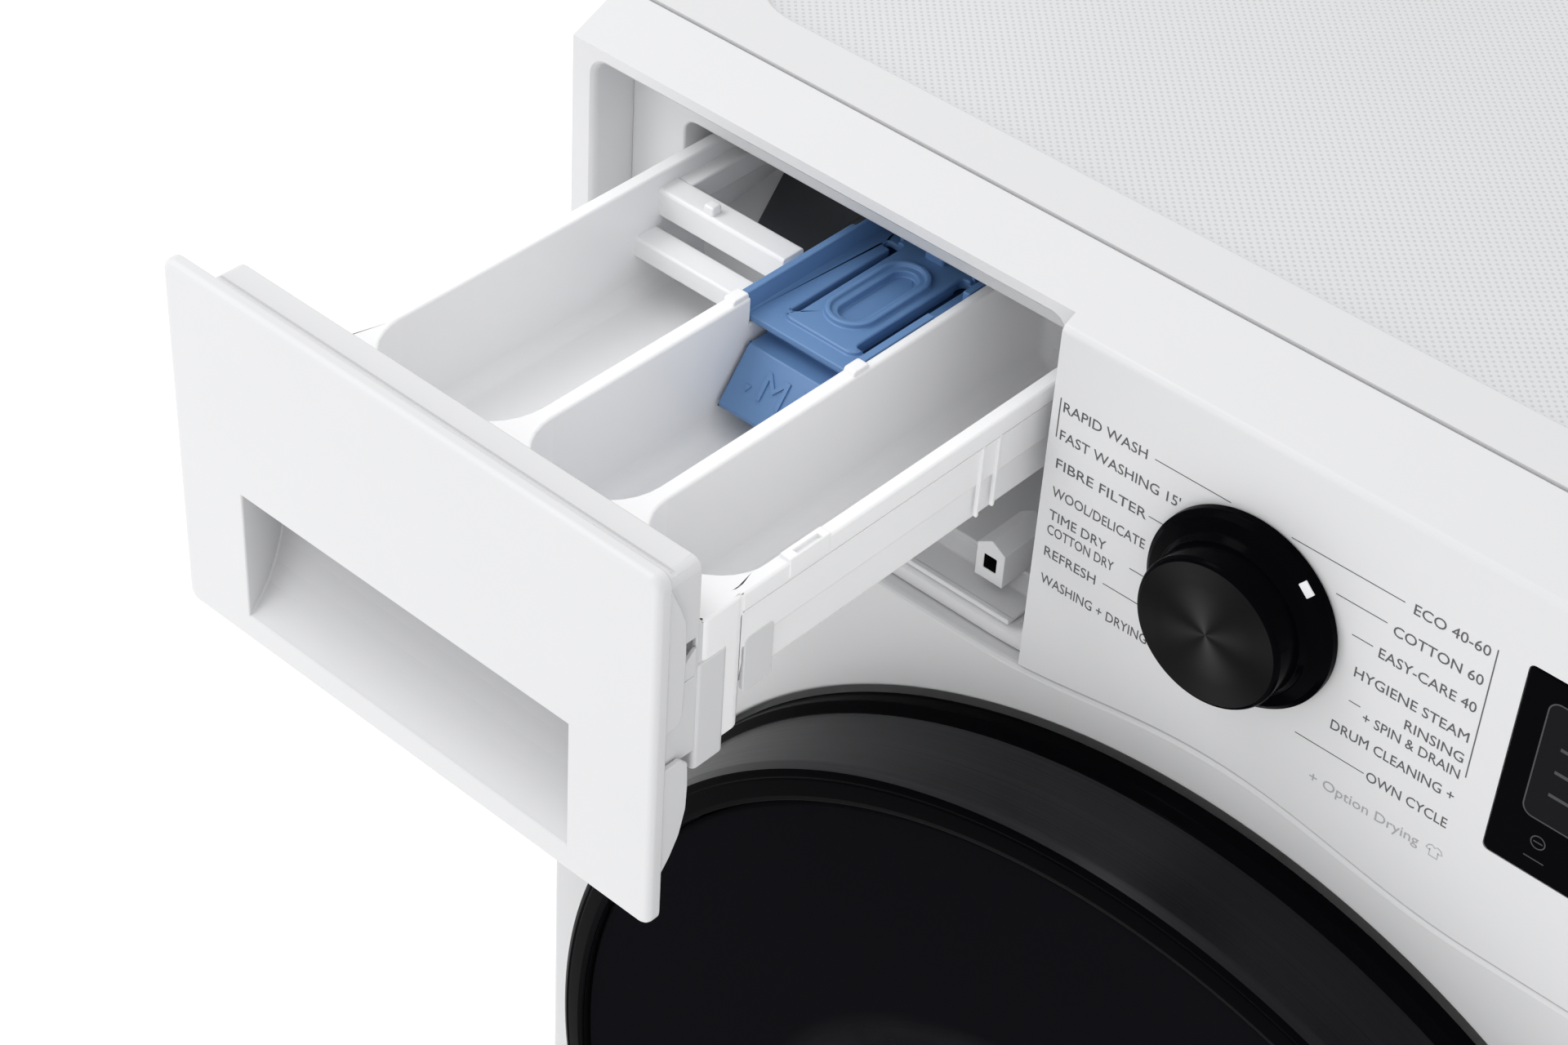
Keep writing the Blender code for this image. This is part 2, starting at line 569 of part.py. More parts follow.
def make_drum():
    shell = [(0, 0.4285), (0.231, 0.4285), (0.2385, 0.4190), (0.2385, 0.0830), (0.2275, 0.0715),
             (0.180, 0.0715), (0.168, 0.0740), (0.168, 0.0722), (0.180, 0.0700), (0.228, 0.0700),
             (DRUM_R, 0.0820), (DRUM_R, 0.4200), (0.232, 0.4300), (0, 0.4300)]
    turned("drum_shell", shell, 32, STEEL)
    for name, angle in (("lifter_top", 90), ("lifter_left", 210), ("lifter_right", 330)):
        profile = [(-0.0230, 0.2350), (0.0230, 0.2350), (0.0090, 0.1980), (0.0040, 0.1940),
                   (-0.0040, 0.1940), (-0.0090, 0.1980)]
        lifter = prism(name, [profile], "y", (0.1000, 0.4200), WHITE_PLASTIC)
        lifter.location.z = DRUM_Z
        lifter.rotation_euler.rotate_axis("Z", math.radians(angle - 90))
    spider = rod("drum_spider", (0, DRUM_Z), 0.034, (0.4304, 0.4465), 24, CAST)
    join(spider, rod("shaft", (0, DRUM_Z), SHAFT_R, (0.4400, 0.5420), 24))
    for angle in (30, 150, 270):
        join(spider, radial_block("spider arm", (0.010, 0.215), (0.4310, 0.4440), 0.036, math.radians(angle)))
    for name, depth in (("bearing_front", (0.4530, 0.4680)), ("bearing_rear", (0.4820, 0.4970))):
        turned(name, [(0.0126, depth[0]), (0.0260, depth[0]), (0.0260, depth[1]), (0.0126, depth[1])], 24, STEEL)
    low, high = PULLEY_DEPTH
    pulley = [(0.0126, low - 0.006), (0.026, low - 0.006), (0.026, low + 0.007), (0.120, low + 0.007),
              (0.124, low), (DRUM_PULLEY_R, low), (DRUM_PULLEY_R, high), (0.124, high),
              (0.120, low + 0.012), (0.026, low + 0.012), (0.026, high), (0.0126, high)]
    turned("drum_pulley", pulley, 32, CAST)


def belt_loop(extra):
    """The hull of the two pulleys, both grown by the same amount."""
    big, small = DRUM_PULLEY_R + extra, MOTOR_PULLEY_R + extra
    towards = Vector((MOTOR[0], MOTOR[1] - DRUM_Z))
    heading = math.degrees(math.atan2(towards.y, towards.x))
    wrap = math.degrees(math.acos((big - small) / towards.length))
    points = arc((0, DRUM_Z), big, heading + wrap, heading + 360 - wrap, 24)
    return points + arc(MOTOR, small, heading - wrap, heading + wrap, 10)


def make_drive():
    profile = [(0, 0.3550), (0.040, 0.3550), (0.055, 0.3650), (0.055, 0.4850), (0.040, 0.4970), (0, 0.4970)]
    motor = turned("motor", profile, 24, CAST, MOTOR)
    join(motor, block("motor foot", (MOTOR[0] - 0.030, MOTOR[0] + 0.030), (0.380, 0.460), (0.140, 0.160)))
    pulley = rod("motor_pulley", MOTOR, MOTOR_PULLEY_R, (0.5105, 0.5335), 20, STEEL)
    join(pulley, rod("rotor shaft", MOTOR, 0.006, (0.4975, 0.5150), 12))
    prism("drive_belt", [belt_loop(0.0034), belt_loop(0.0005)], "y",
          (PULLEY_DEPTH[0] + 0.001, PULLEY_DEPTH[1] - 0.001), BLACK_RUBBER)


def make_suspension():
    turns, per_turn, radius, low, high = 6, 8, 0.0130, 0.5835, 0.7860
    for name, side in (("spring_left", -1), ("spring_right", 1)):
        points = [(side * SPRING_X, SPRING_DEPTH, 0.5725)]
        for i in range(turns * per_turn + 1):
            angle = 2 * math.pi * i / per_turn
            height = low + (high - low) * i / (turns * per_turn)
            points.append((side * SPRING_X + radius * math.cos(angle),
                           SPRING_DEPTH + radius * math.sin(angle), height))
        points.append((side * SPRING_X, SPRING_DEPTH, 0.7975))
        tube(name, points, 0.0018, STEEL, 1)
    for name, side in (("damper_left", -1), ("damper_right", 1)):
        foot = Vector((side * 0.2250, FRONT + 0.305, 0.0270))
        eye = Vector((side * 0.2032, FRONT + 0.305, 0.2312))
        length = (eye - foot).length
        profile = [(0, 0), (0.014, 0), (0.016, 0.004), (0.016, length * 0.55), (0.006, length * 0.55),
                   (0.006, length - 0.012), (0.009, length - 0.012), (0.009, length), (0, length)]
        damper = turned(name, profile, 16, GREY_PLASTIC, (0, 0), "z")
        damper.location = foot
        damper.rotation_euler = (eye - foot).to_track_quat("Z", "Y").to_euler()


def make_wash_heater():
    height = 0.1830
    bend = [(x, depth, height) for x, depth in arc((0, 0.360), 0.022, 0, 180, 8)]
    heater = tube("wash_heater", [(0.022, 0.050, height), *bend, (-0.022, 0.050, height)], 0.0035, STEEL)
    join(heater, block("heater plug", (-0.0292, 0.0292), (0.0550, 0.0655), (0.1783, 0.1888)),
         block("heater flange", (-0.036, 0.036), (0.0560, 0.0596), (0.1730, 0.1960)))


def make_drying_unit():
    low, high = DUCT_Z
    wall = 0.0025

    def outline(inset):
        half = 0.040 - inset
        chamber = arc(FAN, 0.052 - inset, -50, 230, 16)
        return [*chamber, (FAN[0] - half, 0.100 + inset), (FAN[0] + half, 0.100 + inset)]

    duct = prism("drying_duct", [outline(0.0)], "z", (low, high), GREY_PLASTIC)
    cut(duct, prism("duct hollow", [outline(wall)], "z", (low + wall, high - wall)),
        rod("air inlet", FAN, 0.030, (low - 0.010, low + 0.010), 20, axis="z"),
        block("air outlet", (FAN[0] - 0.030, FAN[0] + 0.030), (0.080, 0.110), (low + 0.015, high - 0.015)))
    blades, hub, tip = 8, 0.014, 0.044
    wheel = []
    for i in range(blades):
        angle = 360 * i / blades
        wheel += arc(FAN, hub, angle, angle + 30, 2)
        wheel += [arc(FAN, tip, angle + 36, angle + 36, 1)[0], arc(FAN, tip, angle + 41, angle + 41, 1)[0]]
    prism("drying_fan", [wheel], "z", (low + 0.012, high - 0.010), CAST)


# The door and its lock.


def make_door_seal():
    profile = [(0.1860, 0.0110), (0.1860, 0.0138), (0.1775, 0.0138), (0.1775, 0.0300), (0.1920, 0.0350),
               (0.1920, 0.0400), (0.1836, 0.0430), (0.1836, 0.0585), (0.1804, 0.0585), (0.1804, 0.0455),
               (0.1735, 0.0455), (0.1735, 0.0425), (0.1815, 0.0400), (0.1885, 0.0375), (0.1750, 0.0325),
               (0.1665, 0.0340), (0.1655, 0.0310), (0.1745, 0.0285), (0.1745, 0.0110)]
    turned("door_gasket", profile, 32, RUBBER)


def make_door():
    ring = [(RING_R, -0.0025), (RING_R, -0.0075), (0.2530, -0.0105), (0.2505, -0.0405), (0.2490, -0.0435),
            (0.2470, -0.0450), (0.2385, -0.0460), (0.2365, -0.0450), (0.2365, -0.0385), (0.2465, -0.0385),
            (0.2497, -0.0110), (0.2525, -0.0075), (0.2525, -0.0025)]
    door_ring = turned("door_ring", ring, 64, BLACK_BRUSHED)
    # The finger recess on the latch side, and the gaps that the hinge ears and barrels need.
    cut(door_ring, block("finger recess", (0.2385, 0.270), (-0.0300, 0.010), (DRUM_Z - 0.045, DRUM_Z + 0.045)))
    for side in (-1, 1):
        gap = sorted_pair(DRUM_Z + side * 0.075, DRUM_Z + side * 0.111)
        cut(door_ring, block("hinge gap", (-0.250, -0.2250), (-0.0310, 0.010), gap))
    glass = [(0, -0.0452), (0.120, -0.0449), (0.200, -0.0443), (0.2340, -0.0435), (0.2358, -0.0425),
             (0.2358, -0.0395), (0, -0.0400)]
    turned("door_glass", glass, 48, TINTED)
    frame = [(0.2465, -0.0100), (0.2465, 0.0040), (0.2430, 0.0055), (0.1680, 0.0055), (0.1535, 0.0035),
             (0.1535, -0.0020), (0.2440, -0.0020), (0.2440, -0.0100)]
    inner = turned("door_inner_frame", frame, 48, GREY_PLASTIC)
    for side in (-1, 1):
        gap = sorted_pair(DRUM_Z + side * 0.096, DRUM_Z + side * 0.112)
        cut(inner, block("frame gap", (-0.260, -0.2240), (-0.020, 0.020), gap))
    bowl = [(0.1460, -0.0065), (0.1700, -0.0065), (0.1700, -0.0025), (0.1515, -0.0025), (0.1490, 0.0100),
            (0.1460, 0.0550), (0.1360, 0.0850), (0.1100, 0.0990), (0.0600, 0.1030), (0, 0.1040),
            (0, 0.1000), (0.0600, 0.0990), (0.1080, 0.0955), (0.1325, 0.0820), (0.1420, 0.0540),
            (0.1450, 0.0080)]
    start = bowl.index((0, 0.1000))
    turned("door_bowl", bowl[start:] + bowl[:start], 36, CLEAR)
    hook = block("door_hook", (0.1980, 0.2170), (0.0059, 0.0085), (0.415, 0.445), STEEL)
    join(hook, block("hook blade", (0.2045, 0.2100), (0.0070, 0.0360), (0.4245, 0.4355)),
         block("hook barb", (0.2015, 0.2060), (0.0300, 0.0360), (0.4245, 0.4355)))


def make_hinge():
    ear_x = (HINGE_X - 0.0045, HINGE_X + 0.0045)
    bracket = block("hinge_bracket", (-0.2340, -0.2100), (0.0105, 0.0138),
                    (DRUM_Z - 0.110, DRUM_Z + 0.110), STEEL)
    arm = block("door_hinge_arm", (-0.2080, -0.1950), (-0.0255, -0.0185),
                (DRUM_Z - 0.0990, DRUM_Z + 0.0990), CAST)
    for side in (-1, 1):
        ear_z = sorted_pair(DRUM_Z + side * EAR_Z[0], DRUM_Z + side * EAR_Z[1])
        barrel_z = sorted_pair(DRUM_Z + side * 0.0780, DRUM_Z + side * 0.0990)
        join(bracket, block("ear", ear_x, (HINGE_DEPTH, 0.0115), ear_z),
             rod("ear nose", (HINGE_X, HINGE_DEPTH), 0.0045, ear_z, 16, axis="z"))
        join(arm, rod("barrel", (HINGE_X, HINGE_DEPTH), 0.0058, barrel_z, 16, axis="z"),
             block("arm", (HINGE_X, -0.1980), (-0.0255, -0.0185), barrel_z),
             block("arm foot", (-0.2080, -0.1950), (-0.0200, -0.0024), barrel_z))
    reach = (DRUM_Z - 0.120, DRUM_Z + 0.120)
    cut(bracket, rod("ear bore", (HINGE_X, HINGE_DEPTH), 0.0030, reach, 12, axis="z"))
    cut(arm, rod("barrel bore", (HINGE_X, HINGE_DEPTH), 0.0030, reach, 12, axis="z"))
    rod("hinge_pin", (HINGE_X, HINGE_DEPTH), 0.0025, (DRUM_Z - 0.1095, DRUM_Z + 0.1095), 12, STEEL, "z")
    lock = block("door_lock", (0.1945, 0.2270), (0.0165, 0.0500), (0.398, 0.462), GREY_PLASTIC)
    cut(lock, block("lock slot", (0.1985, 0.2195), (0.0100, 0.0450), (0.421, 0.439)))


# The detergent drawer. Its pieces are drawn as if shut and hang from an empty that pulls them out.


def make_drawer_front():
    x, z = (BAY_X[0] - 0.0085, BAY_X[1] + 0.0005), (0.6968, RIDGE_Z)
    pocket_x = (-0.267, -0.119)
    cover = block("drawer_front", x, (0.0, 0.0056), z, WHITE_PLASTIC, 0.0035, front_edges, 3)
    cut(cover, block("cover hollow", (x[0] + 0.0025, x[1] - 0.0025), (0.0025, 0.020),
                     (z[0] + 0.0025, z[1] - 0.0025)))
    join(cover, block("pocket shell", (pocket_x[0] - 0.0022, pocket_x[1] + 0.0022), (0.0015, 0.0205),
                      (0.7054, 0.7612)))
    # The scoop ramps in from its lower edge and is deepest under the upper one.
    scoop = [(-0.005, 0.7074), (0.000, 0.7076), (0.0040, 0.7095), (0.0100, 0.7180), (0.0150, 0.7330),
             (0.0185, 0.7500), (0.0185, 0.759), (-0.005, 0.759)]
    cut(cover, prism("handle scoop", [scoop], "x", pocket_x))
    # Side flanges reach back into the bay, above and below a gap.
    upper = [(0.0060, 0.7740), (0.0124, 0.7765), (0.0135, 0.8000), (0.0130, 0.8150), (0.0090, 0.8230),
             (0.0060, 0.8300), (0.0015, 0.8300), (0.0015, 0.7740)]
    lower = [(0.0090, 0.7200), (0.0130, 0.7270), (0.0158, 0.7370), (0.0164, 0.7450), (0.0160, 0.7560),
             (0.0130, 0.7590), (0.0015, 0.7590), (0.0015, 0.7050), (0.0035, 0.7060), (0.0045, 0.7140)]
    for edge in (BAY_X[0] + 0.0006, BAY_X[1] - 0.0026):
        for flange in (upper, lower):
            join(cover, prism("side flange", [flange], "x", (edge, edge + 0.0020)))
    inner_x = (BAY_X[0] + 0.0030, BAY_X[1] - 0.0030)
    inner = block("drawer_inner_panel", inner_x, (0.0099, 0.0212), (0.7054, 0.8312),
                  WHITE_PLASTIC, 0.003, along_depth, 1)
    cut(inner, block("inner hollow", (inner_x[0] + 0.002, inner_x[1] - 0.002), (0.0125, 0.030),
                     (0.7078, 0.8290)),
        block("pocket window", (pocket_x[0] - 0.003, pocket_x[1] + 0.003), (0.000, 0.030), (0.690, 0.762)),
        block("clip window", (-0.0900, -0.0840), (0.0145, 0.0200), (0.787, 0.802)))


def make_drawer_tray():
    depth_from, depth_to = TRAY_DEPTH
    tray = block("drawer_tray", TRAY_X, (0.030, depth_to), TRAY_Z, TRAY_WHITE, 0.018,
                 lambda m: along_depth(m) and m.z < -0.9, 4)
    join(tray, block("tray front", (TRAY_X[0] - 0.002, TRAY_X[1] + 0.0012), (depth_from, 0.0420),
                     (0.7530, TRAY_Z[1]), None, 0.004, upright),
         block("tray rim", (TRAY_X[1] - 0.003, TRAY_X[1] + 0.0012), (0.0400, depth_to - 0.001),
               (0.7985, TRAY_Z[1])))
    for number, x in enumerate(COMPARTMENTS):
        hollow = block("compartment", x, COMPARTMENT_DEPTH, (0.7610, 0.830), None, 0.016,
                       lambda m: upright(m) and m.y < 0, 4)
        cut(tray, hollow)
    seat_x = (COMPARTMENTS[0][1] - 0.0005, COMPARTMENTS[2][0] + 0.0005)
    cut(tray, block("insert seat", seat_x, (INSERT_FRONT, COMPARTMENT_DEPTH[1] - 0.004), (0.7955, 0.830)),
        block("flush opening", (-0.250, -0.215), (0.213, 0.240), (0.750, 0.790)),
        block("rinse slot", (-0.178, -0.146), (0.215, 0.238), (0.750, 0.790)))
    first = COMPARTMENTS[0]
    join(tray, block("upper bar", (first[0] - 0.002, first[1] - 0.0002), (0.179, 0.188), (0.7885, 0.8000)),
         block("upper bar end", (first[1] - 0.008, first[1] + 0.002), (0.180, 0.187), (0.7895, 0.7950)),
         block("lower bar", (first[0] - 0.002, first[1] + 0.002), (0.167, 0.178), (0.7770, 0.7850)))


def make_siphon_insert():
    x = (COMPARTMENTS[0][1] + 0.0004, COMPARTMENTS[2][0] - 0.0004)
    back = COMPARTMENT_DEPTH[1] - 0.005
    low, top = 0.7959, 0.8058
    insert = block("siphon_insert", x, (INSERT_FRONT + GAP, back), (low, top), BLUE)
    middle = (COMPARTMENTS[1][0] + COMPARTMENTS[1][1]) / 2
    cut(insert, block("insert field", (x[0] + 0.0025, x[1] - 0.0025), (0.130, back - 0.0025), (low + 0.0026, 0.820)))
    body_x = (COMPARTMENTS[1][0] + 0.0015, COMPARTMENTS[1][1] - 0.0015)
    slope = [(0.1330, 0.7720), (0.1340, 0.7700), (0.1560, 0.7700), (0.1560, 0.7975), (0.1500, 0.7975),
             (0.1460, 0.7900)]
    join(insert, prism("level plate", [slope], "x", body_x),
         block("siphon box", body_x, (0.1550, 0.2100), (0.7700, low + 0.001)))
    cut(insert, block("siphon hollow", (body_x[0] + 0.002, body_x[1] - 0.002), (0.1580, 0.2080),
                      (0.7600, low - 0.001)))
    for side in (-1, 1):
        centre = middle + side * 0.0125
        cut(insert, prism("guide slot", [rounded(sorted_pair(centre, centre + side * 0.004), (0.158, 0.212), 0.0018, 2)],
                          "z", (0.780, 0.810)))
    dish = prism("dish", [rounded((middle - 0.0085, middle + 0.0085), (0.166, 0.206), 0.0083, 4)],
                 "z", (low + 0.001, low + 0.0045))
    hollow = prism("dish hollow", [rounded((middle - 0.0055, middle + 0.0055), (0.170, 0.202), 0.0053, 4)],
                   "z", (low + 0.0020, 0.820))
    join(insert, dish, block("post", (middle - 0.004, middle + 0.004), (0.214, 0.222), (low + 0.001, 0.8056)))
    cut(insert, hollow)


make_cabinet_shell()
make_rear_cover()
make_front_panel()
make_top_cover()
make_control_panel()
make_controls()
for row, depth_of_row in zip(("front", "rear"), FOOT_DEPTHS):
    make_foot("foot_" + row + "_left", -FOOT_X, depth_of_row)
    make_foot("foot_" + row + "_right", FOOT_X, depth_of_row)
make_dispenser_housing()
make_inlet_valve()
make_dispenser_hose()
make_pump_side()
make_cord_gland()
make_tub()
make_counterweights()
make_drum()
make_drive()
make_suspension()
make_wash_heater()
make_drying_unit()
make_door_seal()
make_door()
make_hinge()

before_drawer = set(bpy.data.objects)
make_drawer_front()
make_drawer_tray()
make_siphon_insert()
drawer_position = bpy.data.objects.new("drawer position", None)
drawer_position.location = (0, -DRAWER_OUT, 0)
TOOLS.objects.link(drawer_position)
for drawer_piece in set(bpy.data.objects) - before_drawer - {drawer_position}:
    drawer_piece.parent = drawer_position
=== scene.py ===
import json
import math

import bmesh
import bpy
from mathutils import Matrix, Quaternion, Vector


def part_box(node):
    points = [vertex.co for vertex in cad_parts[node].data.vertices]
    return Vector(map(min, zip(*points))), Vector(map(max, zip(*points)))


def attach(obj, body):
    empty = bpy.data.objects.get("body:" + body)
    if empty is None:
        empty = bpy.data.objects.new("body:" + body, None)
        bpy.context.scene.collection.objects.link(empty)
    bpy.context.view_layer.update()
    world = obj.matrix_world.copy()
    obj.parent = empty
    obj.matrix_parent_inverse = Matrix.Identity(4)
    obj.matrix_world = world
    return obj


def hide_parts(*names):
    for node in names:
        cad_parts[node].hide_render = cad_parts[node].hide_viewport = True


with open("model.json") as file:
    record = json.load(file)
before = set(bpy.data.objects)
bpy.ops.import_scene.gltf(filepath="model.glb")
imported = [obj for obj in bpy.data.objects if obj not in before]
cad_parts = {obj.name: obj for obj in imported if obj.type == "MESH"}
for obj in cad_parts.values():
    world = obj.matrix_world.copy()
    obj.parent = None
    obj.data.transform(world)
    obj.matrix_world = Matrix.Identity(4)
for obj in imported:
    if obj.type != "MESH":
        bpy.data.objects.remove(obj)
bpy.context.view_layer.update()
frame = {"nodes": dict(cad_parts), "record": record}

# Dimensions in metres. Depths are measured back from the front panel's flat face.
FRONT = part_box("front_panel")[0].y
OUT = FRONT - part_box("drawer_front")[0].y  # how far the drawer is pulled out
HALF = 0.300
HEIGHT = 0.850
CASE_FRONT = 0.0305
CASE_BACK = 0.586
FLOOR = 0.020
CASE_TOP = 0.822
GAP = 0.0004
TINY = 1e-7
DRUM_Z = 0.430
DISH_R = 0.2578
RING_R = 0.2555
DISH_FLOOR = 0.0143
MOUTH_R = 0.178
PANEL_Z = 0.695
HUMP = 0.012
HUMP_HALF = 0.100
RIDGE_Z = 0.837
BAY_X = (-0.290, -0.084)
BAY_Z = (0.702, 0.834)
BAY_SET = 0.006
KNOB = (0.0, 0.774)
DISPLAY_X = (0.095, 0.235)
DISPLAY_Z = (0.737, 0.812)
POWER = (0.266, 0.796)
START = (0.266, 0.752)
COMPARTMENTS = ((-0.2550, -0.1910), (-0.1850, -0.1390), (-0.1330, -0.0925))
COMPARTMENT_DEPTH = (0.036, 0.243)
INSERT_FRONT = 0.149
FLAP_X = (0.165, 0.275)
FLAP_Z = (0.075, 0.170)
VALVE = (-0.215, 0.775)
DRAIN = (0.250, 0.760)
GLAND = (0.200, 0.790)
OUTLET = (-0.205, 0.275)
HINGE = (-0.232, -0.022)
FILTER = (0.220, 0.122)
FOOT_X = 0.255
FOOT_ROWS = (("front", 0.075), ("rear", 0.540))
INK = (-0.00009, -0.00002)  # depths of the print's two faces
GLOW = (-0.00038, -0.00031)  # depths of the display's marks
SYMBOL = (-0.00100, -0.00080)  # depths of the power symbol
POCKET_X = (-0.267, -0.119)
HOOK_X = (0.1985, 0.2195)  # the slot that the door's hook goes through
HOOK_Z = (0.421, 0.439)
SHEET = (-0.010, 0.010)  # depths of a cut through the front's sheet
BACK_WALL = (0.570, 0.600)  # depths of a cut through the back
WORDS = -0.00006  # depth of lettering


# Materials.


class Net:
    """A material's node tree with short calls to add and join nodes."""

    def __init__(self, name):
        self.material = bpy.data.materials.new(name)
        self.material.use_nodes = True
        self.tree = self.material.node_tree
        self.shader = self.tree.nodes["Principled BSDF"]
        self.place = self.add("ShaderNodeTexCoord").outputs["Object"]

    def add(self, kind, **settings):
        node = self.tree.nodes.new(kind)
        for key, value in settings.items():
            setattr(node, key, value)
        return node

    def put(self, socket, value):
        if isinstance(value, bpy.types.NodeSocket):
            self.tree.links.new(value, socket)
        elif value is not None:
            socket.default_value = value

    def maths(self, operation, a, b=None):
        node = self.add("ShaderNodeMath", operation=operation)
        for socket, value in zip(node.inputs, (a, b)):
            self.put(socket, value)
        return node.outputs[0]

    def times(self, a, b):
        return self.maths("MULTIPLY", a, b)

    def plus(self, a, b):
        return self.maths("ADD", a, b)

    def minus(self, a, b):
        return self.maths("SUBTRACT", a, b)

    def noise(self, scale, vector=None, detail=2.0, roughness=0.5):
        node = self.add("ShaderNodeTexNoise")
        self.put(node.inputs["Vector"], vector or self.place)
        node.inputs["Scale"].default_value = scale
        node.inputs["Detail"].default_value = detail
        node.inputs["Roughness"].default_value = roughness
        return node.outputs[0]

    def spread(self, value, low, high, start=0.3, end=0.7):
        node = self.add("ShaderNodeMapRange")
        for key, setting in (("Value", value), ("From Min", start), ("From Max", end),
                             ("To Min", low), ("To Max", high)):
            self.put(node.inputs[key], setting)
        return node.outputs[0]

    def mix(self, factor, a, b):
        node = self.add("ShaderNodeMix", data_type="RGBA")
        self.put(node.inputs[0], factor)
        for socket, value in ((node.inputs[6], a), (node.inputs[7], b)):
            self.put(socket, value if isinstance(value, bpy.types.NodeSocket) else (*value, 1.0))
        return node.outputs[2]

    def bump(self, height, strength, distance=0.0002, normal=None):
        node = self.add("ShaderNodeBump")
        node.inputs["Strength"].default_value = strength
        node.inputs["Distance"].default_value = distance
        self.put(node.inputs["Height"], height)
        self.put(node.inputs["Normal"], normal)
        return node.outputs[0]

    def split(self, vector=None):
        node = self.add("ShaderNodeSeparateXYZ")
        self.put(node.inputs[0], vector or self.place)
        return node.outputs

    def join(self, x, y, z):
        node = self.add("ShaderNodeCombineXYZ")
        for socket, value in zip(node.inputs, (x, y, z)):
            self.put(socket, value)
        return node.outputs[0]

    def set(self, **sockets):
        names = {"colour": "Base Color", "rough": "Roughness", "metal": "Metallic", "normal": "Normal",
                 "spec": "Specular IOR Level", "alpha": "Alpha", "aniso": "Anisotropic",
                 "tangent": "Tangent", "glow": "Emission Strength", "glow_colour": "Emission Color"}
        for key, value in sockets.items():
            self.put(self.shader.inputs[names[key]], value)
        return self.material


def shade(colour, factor):
    """The same colour, lighter or darker."""
    return tuple(min(1.0, c * factor) for c in colour)


def plain(name, colour, rough, metal=0.0, spec=0.5, vary=0.02, grain=0.10, fine=900.0, broad=5.0,
          swing=0.05, **more):
    """A moulded or painted finish: slow colour drift, fine grain, and roughness that wanders."""
    net = Net(name)
    drift = net.noise(broad, detail=4.0)
    texture = net.noise(fine, detail=1.0)
    tint = net.mix(net.spread(drift, 0.0, 1.0), shade(colour, 1 - vary), shade(colour, 1 + vary))
    gloss = net.spread(net.noise(broad * 9, detail=3.0), max(0.02, rough - swing), rough + swing)
    return net.set(colour=tint, rough=gloss, metal=metal, spec=spec, normal=net.bump(texture, grain),
                   **more)


def polar(net, x=0.0, z=DRUM_Z):
    """Angle and radius about a front-to-back axis, and the depth."""
    px, py, pz = net.split()
    dx = net.minus(px, x)
    dz = net.minus(pz, z)
    square = net.plus(net.times(dx, dx), net.times(dz, dz))
    return net.maths("ARCTAN2", dz, dx), net.maths("SQRT", square), py


def staggered(net, across, row, squash=1.0):
    """How far a place is from the nearest dot of staggered rows, in spacings."""
    odd = net.times(net.maths("MODULO", net.maths("ABSOLUTE", net.maths("FLOOR", row)), 2.0), 0.5)
    u = net.minus(net.maths("FRACT", net.plus(across, odd)), 0.5)
    v = net.times(net.minus(net.maths("FRACT", row), 0.5), squash)
    return net.maths("SQRT", net.plus(net.times(u, u), net.times(v, v)))


def make_enamel():
    """Sprayed enamel: a faint orange peel under the gloss."""
    net = Net("white enamel")
    drift = net.noise(3.0, detail=3.0)
    tint = net.mix(net.spread(drift, 0.0, 1.0), (0.620, 0.623, 0.632), (0.640, 0.642, 0.650))
    peel = net.noise(420.0, detail=2.0)
    return net.set(colour=tint, rough=net.spread(net.noise(5.0), 0.29, 0.34), spec=0.35,
                   normal=net.bump(peel, 0.045, 0.0003))


def make_top_field():
    """The top cover's field: small raised dots in staggered rows."""
    net = Net("top field")
    px, py, _ = net.split()
    pitch = 0.0034
    away = staggered(net, net.maths("DIVIDE", px, pitch), net.maths("DIVIDE", py, pitch * 0.5), 0.5)
    dot = net.spread(away, 1.0, 0.0, 0.10, 0.20)
    drift = net.spread(net.noise(4.0, detail=3.0), 0.0, 1.0)
    base = net.mix(drift, (0.625, 0.630, 0.640), (0.650, 0.655, 0.665))
    tint = net.mix(net.times(dot, 0.60), base, (0.46, 0.465, 0.48))
    normal = net.bump(dot, 0.5, 0.0003, net.bump(net.noise(900.0), 0.08))
    return net.set(colour=tint, rough=net.spread(net.noise(30.0), 0.38, 0.50), spec=0.4, normal=normal)


def make_brushed():
    """Near-black metal brushed round the door, with painted highlights."""
    net = Net("black brushed")
    angle, radius, depth = polar(net)
    lines = net.join(net.times(radius, 2600.0), net.times(depth, 2600.0),
                     net.times(net.maths("SINE", angle), 3.0))
    streak = net.noise(1.0, lines, detail=3.0, roughness=0.7)
    broad = net.noise(1.0, net.join(net.times(depth, 260.0), net.times(radius, 260.0),
                                    net.times(net.maths("SINE", angle), 1.5)), detail=2.0)
    both = net.plus(net.times(streak, 0.8), net.times(broad, 0.2))
    # Painted highlight: the colour is lightened most at the top and a little to the right, where the brushing
    # would catch the light.
    sheen = 0.35
    for turn, weight in ((1.90, 1.0), (0.75, 0.45)):
        swing = net.maths("POWER", net.maths("ABSOLUTE", net.maths("COSINE", net.minus(angle, turn))), 14.0)
        sheen = net.plus(net.times(swing, weight), sheen)
    grain = net.mix(net.spread(both, 0.0, 1.0, 0.35, 0.65), (0.016, 0.016, 0.018), (0.030, 0.030, 0.033))
    tint = net.mix(net.times(sheen, 0.75), (0.002, 0.002, 0.003), grain)
    return net.set(colour=tint, rough=net.spread(streak, 0.30, 0.40), metal=0.6, spec=0.2,
                   normal=net.bump(streak, 0.10, 0.0001))


